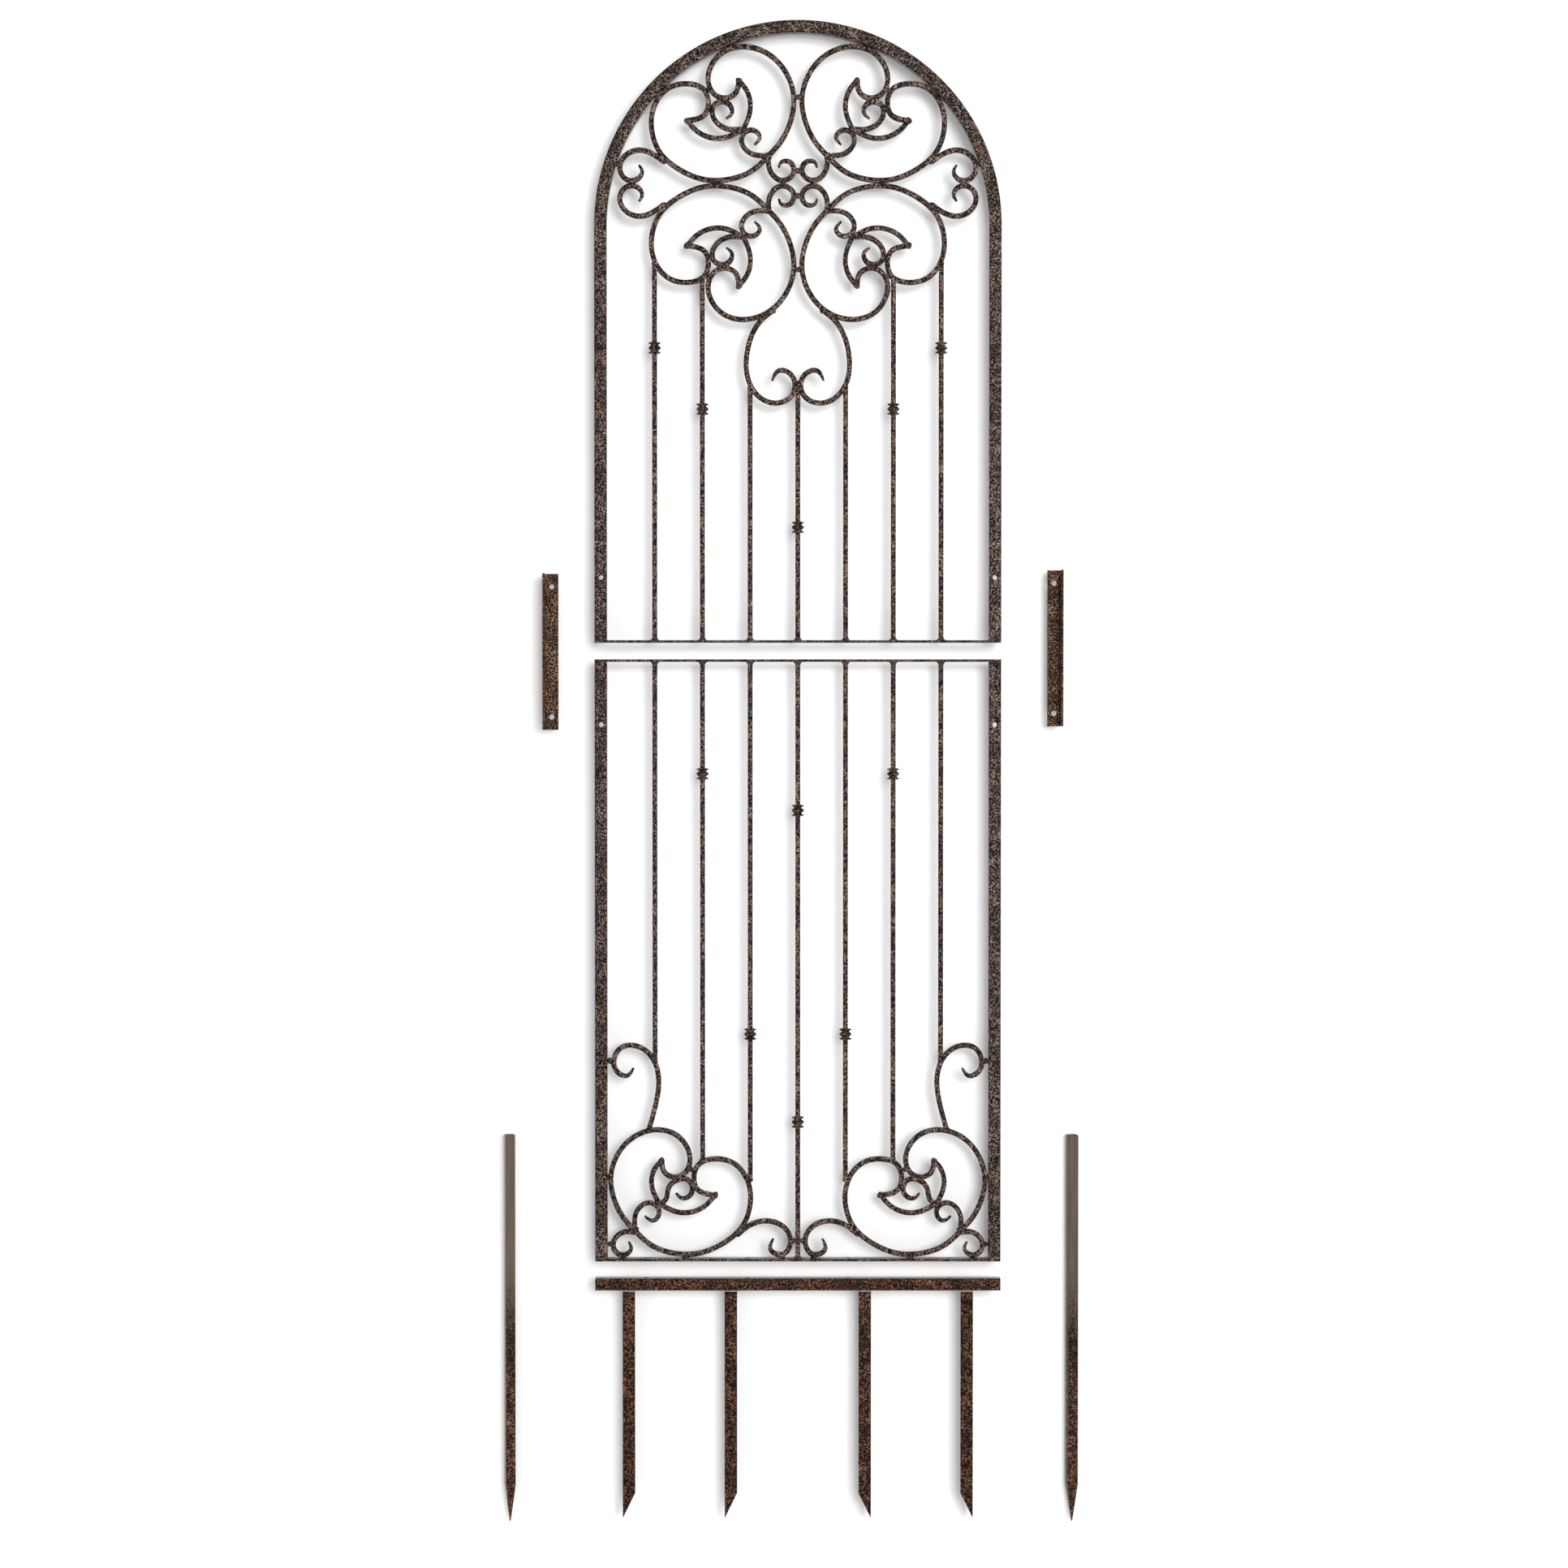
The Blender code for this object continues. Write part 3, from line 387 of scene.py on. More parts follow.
def hammered_group():
    """Colour, roughness and height of hammertone paint.  Crests appear where pools + 0.35 * grit is high."""
    tree = bpy.data.node_groups.new("hammered paint", "ShaderNodeTree")
    for label, kind, value in (("Place", "Vector", (0, 0, 0)), ("Pools", "Color", (0.003, 0.002, 0.001, 1)),
                               ("Crests", "Color", (0.18, 0.13, 0.11, 1)),
                               ("Warmth", "Color", (0.17, 0.10, 0.08, 1)),
                               ("Grain", "Float", 380.0), ("Weld", "Float", 0.0)):
        socket = tree.interface.new_socket(label, in_out="INPUT", socket_type="NodeSocket" + kind)
        socket.default_value = value
    for label, kind in (("Colour", "Color"), ("Roughness", "Float"), ("Height", "Float")):
        tree.interface.new_socket(label, in_out="OUTPUT", socket_type="NodeSocket" + kind)
    given, out = tree.nodes.new("NodeGroupInput").outputs, tree.nodes.new("NodeGroupOutput").inputs
    pools = noise(tree, given["Place"], given["Grain"], 2.0, Roughness=0.55, Distortion=0.6)
    finer = node(tree, "Math", {0: given["Grain"], 1: 2.7}, operation="MULTIPLY").outputs[0]
    grit = noise(tree, given["Place"], finer, 1.0)
    drift = noise(tree, given["Place"], 21.0, 2.0)
    shade = noise(tree, given["Place"], 55.0, 1.0)
    broken = node(tree, "Math", {0: grit, 1: 0.35, 2: pools}, operation="MULTIPLY_ADD").outputs[0]
    crest = ramp(tree, broken, 0.68, 0.77)
    high = colour_mix(tree, ramp(tree, drift, 0.42, 0.68, 0.0, 0.75), given["Crests"], given["Warmth"])
    mottled = colour_mix(tree, crest, given["Pools"], high)
    mottled = scaled(tree, mottled, ramp(tree, shade, 0.32, 0.68, 0.60, 1.28))
    filled = colour_mix(tree, ramp(tree, given["Weld"], 0.0, 1.0, 0.0, 0.35), mottled, FILLED_WELD)
    # mark 2 paints a bead pale as a painted highlight; mark 1 only darkens a weld a little
    tree.links.new(colour_mix(tree, ramp(tree, given["Weld"], 1.0, 2.0), filled, PAINTED_SEAM_HIGHLIGHT), out["Colour"])
    tree.links.new(ramp(tree, crest, 0.0, 1.0, 0.60, 0.44), out["Roughness"])
    tree.links.new(broken, out["Height"])
    return tree


HAMMERED = hammered_group()
print("group:", HAMMERED.name, "with", len(HAMMERED.nodes), "nodes")

# %% [markdown]
# ## A finish from the group
# The metal is powder-coated steel: dull when it is looked at straight, and glossy where it turns away.
# A plain low roughness would shine everywhere, so a clear coat comes in only as the surface turns from
# the eye, which Layer Weight tells, and there it takes up the pale surroundings as a thin light line
# along the rounded edges.

# %% The coat's material
COAT_VALUES = {"Metallic": 0.18, "Specular IOR Level": 0.10, "Coat Roughness": 0.22, "Coat IOR": 1.4}


def coat_material(name, pools, crests, warmth):
    """A painted-metal material that draws its pattern from the hammered group."""
    paint = bpy.data.materials.new(name + "_hammered")
    paint.use_nodes = True
    tree = paint.node_tree
    shader = tree.nodes["Principled BSDF"].inputs
    made = node(tree, "Group", node_tree=HAMMERED)
    for label, value in (("Pools", (*pools, 1)), ("Crests", (*crests, 1)), ("Warmth", (*warmth, 1)),
                         ("Place", node(tree, "TexCoord").outputs["Object"]),
                         ("Weld", node(tree, "Attribute", attribute_name="weld").outputs["Fac"])):
        feed(tree, value, made.inputs[label])
    bump = node(tree, "Bump", {"Strength": 0.5, "Distance": 0.5 * MM, "Height": made.outputs["Height"]})
    tree.links.new(made.outputs["Colour"], shader["Base Color"])
    tree.links.new(made.outputs["Roughness"], shader["Roughness"])
    tree.links.new(bump.outputs["Normal"], shader["Normal"])
    facing = node(tree, "LayerWeight", {"Blend": 0.5}).outputs["Facing"]
    tree.links.new(ramp(tree, facing, 0.55, 0.92), shader["Coat Weight"])
    for label, value in COAT_VALUES.items():
        shader[label].default_value = value
    return paint


BRONZE = coat_material("bronze_coat", pools=(0.003, 0.0017, 0.0012), crests=(0.182, 0.130, 0.108),
                       warmth=(0.168, 0.101, 0.075))
CONNECTOR = coat_material("connector_coat", pools=(0.003, 0.0010, 0.0004), crests=(0.215, 0.118, 0.072),
                          warmth=(0.205, 0.088, 0.045))
ANCHOR = coat_material("anchor_coat", pools=(0.003, 0.0008, 0.0003), crests=(0.150, 0.070, 0.039),
                       warmth=(0.138, 0.053, 0.024))
print("finishes:", BRONZE.name, CONNECTOR.name, ANCHOR.name)

# %% [markdown]
# ## The stakes' two-part finish
# The panels are a grey-brown bronze, and the connectors and the anchor are warmer, from another batch.
# A stake is plain olive-taupe where it goes up into its tube, and runs through a dark band into the
# red-brown hammered coat at its point.  Two materials would meet in a hard line, so one material blends
# them by height, and a speck noise makes the border ragged as spray leaves it.

# %% The stakes' material
PLAIN_COAT = (0.098, 0.073, 0.053)
DARK_BAND = (0.55, 0.56, 0.60)          # the band multiplies the hammered colour by this
BAND_STARTS, BAND_ENDS = (-0.10, -0.02), (-0.01, 0.12)   # heights over which it comes in and goes out


def fade_to_plain(paint):
    """Repaints a coat so that it is plain above, dark in a band and hammered below.  What is compared with
    the heights is z + 0.16 * speck."""
    tree = paint.node_tree
    shader = tree.nodes["Principled BSDF"]
    hammered = shader.inputs["Base Color"].links[0].from_socket
    place = node(tree, "TexCoord").outputs["Object"]
    height = node(tree, "SeparateXYZ", {0: place}).outputs["Z"]
    speck = noise(tree, place, 260.0, 2.0)
    ragged = node(tree, "Math", {0: speck, 1: 0.16, 2: height}, operation="MULTIPLY_ADD").outputs[0]
    lengthwise = node(tree, "VectorMath", {0: place, 1: (160.0, 160.0, 9.0)}, operation="MULTIPLY").outputs[0]
    brushed = scaled(tree, PLAIN_COAT, ramp(tree, noise(tree, lengthwise, 1.0, 2.0), 0.3, 0.7, 0.86, 1.12))
    band = node(tree, "VectorMath", {0: hammered, 1: DARK_BAND}, operation="MULTIPLY").outputs[0]
    low = colour_mix(tree, ramp(tree, ragged, *BAND_STARTS), hammered, band)
    painted = colour_mix(tree, ramp(tree, ragged, *BAND_ENDS), low, brushed)
    tree.links.new(painted, shader.inputs["Base Color"])


STAKE = coat_material("stake_coat", pools=(0.004, 0.0015, 0.0007), crests=(0.185, 0.098, 0.058),
                      warmth=(0.165, 0.072, 0.036))
fade_to_plain(STAKE)
print("finish:", STAKE.name, "with", len(STAKE.node_tree.nodes), "nodes")

# %% [markdown]
# ## Weld beads and flares
# Where two rods touch, the welder left a small lump, and where a bar meets a rail, a collar of metal
# flared out on both.  A ball would look like a bearing, so a lump is a globe with a few soft waves in
# its radius.  A flare is the bar's own square profile, which widens towards the rail as a fillet does.

# %% Weld shapes
FLARE_SPREAD, FLARE_REACH = 3.2 * MM, 4.6 * MM


def bead(across, height, wide, tall, deep=7.8, turn=0.0):
    """A lump of weld: a globe whose radius swells by small waves, P = r * (sin(u)cos(v), cos(u),
    sin(u)sin(v)) with r = 1 + 0.1*sin(3v + p)*sin(u) + 0.07*sin(5u + v + p), stretched to its sizes, which
    are in millimetres.  p varies with the place."""
    u = np.linspace(0.18, pi - 0.18, 7)[:, None]
    v = np.linspace(0.0, 2 * pi, 12, endpoint=False)
    p = 900 * across + 700 * height
    r = (1 + 0.10 * np.sin(3 * v + p) * np.sin(u) + 0.07 * np.sin(5 * u + v + p)) * MM / 2
    a, b, c = r * np.sin(u) * np.cos(v) * wide, r * np.cos(u) * deep, r * np.sin(u) * np.sin(v) * tall
    return shell(np.stack([across + a * cos(turn) - c * sin(turn), b,
                           height + a * sin(turn) + c * cos(turn)], -1))


def flare(across, height, way):
    """A flare at a bar's end: side(t) = 1.04 * bar + 2 * spread * (1 - t)^2 at the distance reach*t from the
    rail."""
    t = np.linspace(0.0, 1.0, 7)
    side = 1.04 + 2 * FLARE_SPREAD / BAR * (1 - t) ** 2
    path = np.stack([np.full(7, across), height + way * FLARE_REACH * t], axis=1)
    return shell(carry(SQUARE_BAR, path, side))


def arch_bead(across, height):
    """A bead between a rod and the inside of the arch, nearest to a place on the rod."""
    angle = atan2(height - ARCH_CENTRE, across)
    reach = HALF_WIDTH - TUBE - 1.0 * MM
    return bead(reach * cos(angle), ARCH_CENTRE + reach * sin(angle), 7, 9, 8.5, angle)


print("a bead has", len(bead(0, 0, 1, 1)[1]), "faces and a flare", len(flare(0, 0, 1)[1]))

# %% [markdown]
# ## Scroll rods
# A scroll is a square rod bent along its line, with its free end drawn out thin on the anvil before it
# is curled.  A Curve object's taper could thin the end, but not give the hammer's small unevenness: the
# rod never has quite the same width twice, so slow waves of a hundredth of its size run along it.

# %% One scroll rod
TIP = 0.42                      # a drawn-out end, as a share of the rod
DRAWN = 30 * MM                 # over which the end is drawn out
NOSE = 1.1 * MM                 # over which every end is rounded off
LEAF_SIDE = 0.96                # a leaf's rod, as a share of the loop's


def rod(points, tips=(1.0, 1.0), side=1.0):
    """A square rod along a spline, sized by share(s) = side * wave(s) * the draw to each tip * a round nose.
    With f falling from 1 at an end to 0, the draw is 1 - (1 - tip) * f^1.5 and the nose is 1 - f^2 / 4."""
    path = stepped(spline(points))
    s = lengths(path)
    left = s[-1] - s
    x, z = path[0]
    share = side * (1 + 0.010 * np.sin(s * 210 + 500 * x) + 0.008 * np.sin(s * 90 + 300 * z))
    for away, tip in ((s, tips[0]), (left, tips[1])):
        share = share * (1 - (1 - tip) * np.clip(1 - away / DRAWN, 0, 1) ** 1.5)
    share = share * (1 - 0.25 * np.clip(1 - np.minimum(s, left) / NOSE, 0, 1) ** 2)
    return shell(carry(SQUARE_ROD, path, share))


print("a sample rod has", len(rod([(0, 0), (0.05, 0.02), (0.08, 0.08)], (1, TIP))[1]), "faces")

# %% [markdown]
# ## The leaf motif
# Four motifs fill the crest and two more stand at the foot.  Each is drawn once on its own axis: a wide
# loop and a narrow loop leave a common stem, meet in a kiss, and hook back to the edge of a leaf, and a
# bud and a stem curl sit between them.  Six meshes could be mirrored copies of one, but a mirror turns
# a mesh inside out.  So a motif is set in place by where its stem is and which way its axis leans, and
# a mirror image is a change of sign.

# %% Motif outlines
MOTIF_TILT = radians(47.2)
WIDE_LOOP = [(0, 0), (36, 0.5), (71, 15), (102, 43), (120.5, 82), (125, 123), (111, 158), (81, 185),
             (45, 191), (16, 174.5), (3.6, 150), (12, 130), (30, 119.3), (56, 130.5)]
WIDE_LEAF = [(57, 131), (58, 116), (52, 92), (30, 69), (3, 60.5)]
NARROW_LOOP = [(0, 0), (-25, 2), (-63, 15.5), (-94, 40), (-112.5, 77), (-113.5, 117), (-97, 151),
               (-66, 172), (-34, 171), (-9.5, 153), (-4, 134), (-12.5, 116.5), (-31, 111), (-47.5, 121.5)]
NARROW_LEAF = [(-48.3, 122.5), (-47.5, 106), (-35, 80), (-18, 67), (-2, 60)]
BUD_CURL = [(1.5, 61), (14, 71.5), (23, 88), (22, 108), (10, 119.7), (-4.5, 116), (-10.5, 103), (-4.5, 91.5),
            (9, 91)]
BUD_MIDDLE = 8.5                # a turned-over bud is mirrored about this line
STEM_CURL = [(3.5, 4.5), (15.5, 18), (19.5, 35), (12.5, 50), (-1.5, 53.5), (-12, 45), (-11.5, 32.5),
             (4, 28.5)]
LEAF_KNOB = (11, 11.5, 9.2)     # the round knob of weld on each leaf's tip
STEM_KNOB = (12, 10, 8.6)


def set_in_place(stem, lean_x, lean_z):
    """Gives the function that carries a motif's own (across, along) millimetres to its place in the panel."""
    along = np.array((lean_x * cos(MOTIF_TILT), lean_z * sin(MOTIF_TILT)))
    across = np.array((lean_x * sin(MOTIF_TILT), -lean_z * cos(MOTIF_TILT)))

    def place(points):
        drawn = np.atleast_2d(np.array(points, dtype=float))
        return np.array(stem) + SCROLL * (drawn[:, :1] * across + drawn[:, 1:] * along)

    return place


def spot_bead(place, point, wide, tall, deep=8.0):
    """A bead at a point of a motif."""
    return bead(*place(point)[0], wide, tall, deep)


print("a motif is", round(lengths(spline(WIDE_LOOP))[-1]), "mm of rod in its wide loop alone")

# %% [markdown]
# ## One motif
# The three bent rods of a motif touch at the kiss, at the hook and at the leaf's root, and each touch
# has a bead.  The crest's motifs and the foot's differ in little: at the foot the narrow loop is bent
# smaller and the curls are turned over.  So one function makes both, and the beads go with the piece
# that was welded on last.


# %% Make a leaf motif
def leaf_motif(name, stem, lean_x, lean_z, body, wide_welds, narrow_welds, narrow_share=1.0,
               turned_over=False):
    """Makes the three pieces of a motif: its wide loop, its narrow loop and its two curls."""
    place = set_in_place(stem, lean_x, lean_z)
    settle = np.linspace(narrow_share, 1.0, len(NARROW_LEAF))[:, None]
    narrow, narrow_leaf = np.array(NARROW_LOOP) * narrow_share, np.array(NARROW_LEAF) * settle
    bud, stem_curl = np.array(BUD_CURL), np.array(STEM_CURL)
    touch = [(16.5, 122.5), (-9.5, 112)]
    if turned_over:
        bud[1:, 0] = 2 * BUD_MIDDLE - bud[1:, 0]
        stem_curl[:, 0] = -stem_curl[:, 0]
        touch = [(19, 121.5), (-9, 106)]
    make_piece(f"{name}_wide_loop", [rod(place(WIDE_LOOP)), rod(place(WIDE_LEAF), side=LEAF_SIDE)],
               [spot_bead(place, (57.5, 131.5), *LEAF_KNOB), *wide_welds], body, BRONZE)
    kiss, hook = (-0.5, 146 * narrow_share), narrow[-1] + (-0.5, 0.5)
    make_piece(f"{name}_narrow_loop", [rod(place(narrow)), rod(place(narrow_leaf), side=LEAF_SIDE)],
               [spot_bead(place, kiss, 8, 9), spot_bead(place, hook, *LEAF_KNOB),
                spot_bead(place, (0, 1.5), *STEM_KNOB), *narrow_welds], body, BRONZE)
    make_piece(f"{name}_curls", [rod(place(bud), (1.0, TIP)), rod(place(stem_curl), (1.0, TIP), LEAF_SIDE)],
               [spot_bead(place, (0.5, 58), 10, 10, 8.6), spot_bead(place, touch[0], 6.5, 6),
                spot_bead(place, touch[1], 6, 6)], body, BRONZE)


print("outlines for", len((WIDE_LOOP, WIDE_LEAF, NARROW_LOOP, NARROW_LEAF, BUD_CURL, STEM_CURL)), "rods")

# %% [markdown]
# ## The crest
# Four motifs lean away from the middle of the crest, one to each corner, like a four-leaved flower
# under the arch.  The upper two touch the arch at two places each, and neighbours touch each other on
# the middle lines.  The four could be written out one by one, but they differ only in signs, so two
# loops make them.  Each touch is welded once, by only one of the pieces that meet there.

# %% Crest motifs
for row, lean_z in (("top", 1), ("low", -1)):
    for label, lean_x in (("left", -1), ("right", 1)):
        stem = (lean_x * 48.4 * SCROLL, CREST + lean_z * 43.7 * SCROLL)
        place = set_in_place(stem, lean_x, lean_z)
        wide_welds, narrow_welds = [], []
        if lean_z > 0:
            wide_welds += [arch_bead(*place((60, 192))[0]), bead(lean_x * 137 * SCROLL, CREST, 10, 8)]
            narrow_welds.append(arch_bead(*place((-64, 174))[0]))
        if lean_x > 0:
            narrow_welds.append(bead(0.0, place((-96, 42))[0][1], 12, 9.5, 8.6))
        leaf_motif(f"crest_{row}_{label}", stem, lean_x, lean_z, "upper_panel", wide_welds, narrow_welds)
print("crest: four motifs, twelve pieces")

# %% [markdown]
# ## The foot
# The same motif stands in each lower corner and leans inwards and up.  It could have outlines of its
# own, but the crest's outlines with a smaller narrow loop come to the same shape, and one drawing is
# easier to keep right.  A bead holds it to the bottom rail and another to the tube.

# %% Foot motifs
FOOT_NARROW_SHARE = 0.93
for label, side in (("left", -1), ("right", 1)):
    stem = (side * 267.0 * SCROLL, LOWER_FOOT + 49.5 * SCROLL)
    rail_weld = bead(side * 183 * SCROLL, LOWER_FOOT + 5.5 * MM, 13, 7)
    tube_weld = bead(side * (CLEAR / 2 - 1 * MM), LOWER_FOOT + 136.5 * SCROLL, 7, 10)
    leaf_motif(f"foot_{label}", stem, -side, 1, "lower_panel", [rail_weld], [tube_weld],
               FOOT_NARROW_SHARE, True)
print("foot: two motifs, six pieces")

# %% [markdown]
# ## The crest's single scrolls
# C-scrolls stand in pairs at the frame, four small J-curls meet back to back in the rosette, and two
# long curls make a heart below.  Each is drawn once for the right-hand side, and the others change the
# sign of a coordinate, for the same reason as before: a mirrored mesh would be inside out.

# %% Scrolls of the upper panel
SIDE_SCROLL = [(217, 34), (235, 46.7), (258, 53.5), (280, 45), (289.5, 24), (278.5, 6), (262, 6), (253.2, 19),
               (258.5, 29.5)]
ROSETTE_CURL = [(48.2, 42), (44.2, 18.5), (24.5, 4.4), (6.8, 18.5), (15, 35), (27.5, 33.5), (31, 25)]
HEART_SCROLL = [(38, -136), (59.3, -153.2), (83, -209), (79.7, -253.2), (59.3, -280.9), (32, -288),
                (10, -276), (4.8, -258), (14, -239.5), (31, -235.5), (42, -252)]


def mirrored(points, side, base, flip=1):
    """An outline in place: x = side * across, z = base + flip * up, both scaled from millimetres."""
    drawn = np.array(points, dtype=float) * SCROLL
    return np.stack([side * drawn[:, 0], base + flip * drawn[:, 1]], axis=1)


rosette, rosette_welds = [], [bead(0.0, CREST + flip * 20 * SCROLL, 12, 9.5) for flip in (-1, 1)]
for label, side in (("left", -1), ("right", 1)):
    for row, flip in (("top", 1), ("low", -1)):
        outline = mirrored(SIDE_SCROLL, side, CREST, flip)
        welds = [bead(*(outline[0] + (0, flip * 1.0 * MM)), 9.5, 8.5)]
        if flip > 0:
            welds += [arch_bead(side * 300 * SCROLL, CREST + 33 * SCROLL),
                      bead(side * 270 * SCROLL, CREST, 9.5, 8.5)]
        make_piece(f"side_scroll_{row}_{label}", [rod(outline, (1.0, TIP))], welds, "upper_panel", BRONZE)
        rosette.append(rod(mirrored(ROSETTE_CURL, side, CREST, flip), (1.0, TIP)))
        rosette_welds.append(bead(side * 48 * SCROLL, CREST + flip * 40.5 * SCROLL, 10, 9))
    rosette_welds.append(bead(side * 24.5 * SCROLL, CREST, 8.5, 8.5))
    heart_welds = [bead(side * 40 * SCROLL, ARCH_CENTRE - 139 * SCROLL, 10, 8)]
    if side > 0:
        heart_welds.append(bead(0.0, ARCH_CENTRE - 262 * SCROLL, 12, 20))
    make_piece(f"heart_scroll_{label}", [rod(mirrored(HEART_SCROLL, side, ARCH_CENTRE), (1.0, TIP))],
               heart_welds, "upper_panel", BRONZE)
make_piece("centre_rosette", rosette, rosette_welds, "upper_panel", BRONZE)
print("upper single scrolls: seven pieces")

# %% [markdown]
# ## The lower panel's single scrolls
# A long S-scroll climbs each tube, and a corner curl and a base scroll sit on the bottom rail.  They
# differ only in their outlines, their drawn-out ends and where they touch a neighbour, so a table holds
# these and one loop makes them.  A touch is its place across and up as drawn, and its bead's width and
# height.

# %% Scrolls of the lower panel
S_SCROLL = [(268.5, 316), (279, 303), (296, 310.5), (300.5, 328), (288.5, 349), (265, 352), (242, 338),
            (227.5, 300), (231, 262), (243, 216)]
CORNER_CURL = [(264, 45.8), (283, 47), (299, 36), (300.5, 18.5), (286, 9), (272.8, 19), (277, 31)]
BASE_SCROLL = [(99, 42), (81, 56.5), (50, 65), (21, 53), (12, 31), (26, 9.8), (44.5, 18), (40, 36)]
LOWER_SCROLLS = (
    ("s_scroll", S_SCROLL, (TIP, 1.0), [(307.5, 327, 8, 11), (243, 215, 11, 8)]),
    ("corner_curl", CORNER_CURL, (1.0, TIP), [(307, 27, 8, 9), (286, 5.5, 10, 5), (264, 46, 9, 8)]),
    ("base_scroll", BASE_SCROLL, (1.0, TIP), [(7, 32, 8, 9), (26, 5.5, 10, 6), (98, 42.5, 9, 8)]))
for label, side in (("left", -1), ("right", 1)):
    for name, outline, tips, touches in LOWER_SCROLLS:
        beads = [bead(side * x * SCROLL, LOWER_FOOT + z * SCROLL, wide, tall) for x, z, wide, tall in touches]
        bent = rod(mirrored(outline, side, LOWER_FOOT), tips)
        make_piece(f"{name}_{label}", [bent], beads, "lower_panel", BRONZE)
print("lower single scrolls:", 2 * len(LOWER_SCROLLS), "pieces")

# %% [markdown]
# ## Cast collars
# Some bars carry a cast collar of three rings, a plump one between two thin lips.  Three rings on a
# tube would leave hard creases and many shells, so a collar is one lathe surface: its radius is a
# function of the height, made of half-ellipse swells on a core.

# %% A collar
COLLAR_CORE = 6.5               # radius in millimetres
COLLAR_RINGS = ((-7.5, 1.7, 3.5), (0.0, 3.3, 3.4), (7.5, 1.7, 3.5))   # middle, half height and swell
COLLAR_SIDES = 28


def collar(across, height):
    """r(h) = core(h) + sum of a * sqrt(1 - ((h - c) / w)^2) over three rings with middles c, half heights w
    and swells a; the core narrows to the bar over the last millimetre at both ends."""
    h = np.concatenate([np.linspace(-9.8, -5.2, 18), np.linspace(-4.9, 4.9, 25), np.linspace(5.2, 9.8, 18)])
    radius = COLLAR_CORE - 1.8 * np.clip((np.abs(h) - 8.8), 0, 1) ** 2
    for middle, half, swell in COLLAR_RINGS:
        radius += swell * np.sqrt(np.clip(1 - ((h - middle) / half) ** 2, 0, None))
    turn = np.linspace(0.0, 2 * pi, COLLAR_SIDES, endpoint=False)
    r = radius[:, None] * MM
    up = np.repeat(height + h[:, None] * MM, COLLAR_SIDES, axis=1)
    return shell(np.stack([across + r * np.cos(turn), r * np.sin(turn), up], -1))


def collar_heights(node):
    """The middle heights of a CAD bar's collars, from the vertices that stand out in front of the bar."""
    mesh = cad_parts[node].data
    spots = np.empty(len(mesh.vertices) * 3, np.float32)
    mesh.vertices.foreach_get("co", spots)
    spots = spots.reshape(-1, 3)
    proud = np.sort(spots[spots[:, 1] < -6 * MM, 2])
    groups = np.split(proud, np.nonzero(np.diff(proud) > 0.05)[0] + 1)
    return [float(group.min() + group.max()) / 2 for group in groups if len(group)]


print("lower bar 4 has collars at", [round(height, 3) for height in collar_heights("lower_bar_4")])

# %% [markdown]
# ## Upright bars
# Fourteen square bars fill the panels.  An end on a rail gets a flare, and an end on a scroll runs a
# little way into it and gets a bead, because a square end that only touches a round bend would show a
# gap.

# %% Bars
SUNK = 1.2 * MM


def upright(node, body, foot_on_rail, top_on_rail):
    """A square bar between its CAD ends, with its collars and a flare at each rail."""
    low, high = corners(node)
    across = (low[0] + high[0]) / 2
    bottom = low[2] - (0 if foot_on_rail else SUNK)
    top = high[2] + (0 if top_on_rail else SUNK)
    run = straight((across, top), (across, bottom), 60, 0.05)
    shells = [shell(carry(SQUARE_BAR, run))] + [collar(across, height) for height in collar_heights(node)]
    welds = [flare(across, low[2], 1) if foot_on_rail else bead(across, low[2] + 1 * MM, 9.5, 7),
             flare(across, high[2], -1) if top_on_rail else bead(across, high[2] - 1 * MM, 9.5, 7)]
    return make_piece(node, shells, welds, body, BRONZE)


for number in range(1, 8):
    upright(f"upper_bar_{number}", "upper_panel", True, False)
    upright(f"lower_bar_{number}", "lower_panel", number == 4, True)
print("bars: fourteen")

# %% [markdown]
# ## Frame tubes
# The frame is square tube with a thin wall and round edges, and its ends can be seen into where they
# are open.  A Solidify modifier could give the wall, but two carried profiles whose rows meet at the
# cut ends make one closed grid with a wall of exactly one thickness.

# %% Tubes
TUBE_WALL, TUBE_CORNER = 1.2 * MM, 2.4 * MM
BOLT_HOLE = 4.2 * MM            # radius
BOLT_REACH = 106 * MM           # from the seam between the panels to each bolt hole


def tube_wall(path):
    """A hollow tube as one ring of rows: up the outside, over the rim and back down the inside."""
    outside = carry(box_profile(TUBE, TUBE, TUBE_CORNER, 6), path)
    bore = TUBE - 2 * TUBE_WALL
    inside = carry(box_profile(bore, bore, TUBE_CORNER - 0.6 * TUBE_WALL, 6), path)
    return shell(np.concatenate([outside, inside[::-1]]), ring=True)


def cross_hole(across, height):
    """A bolt hole through the front and the back of a tube."""
    return ((across, 0.0, height), BOLT_HOLE, 2 * TUBE, "Y")


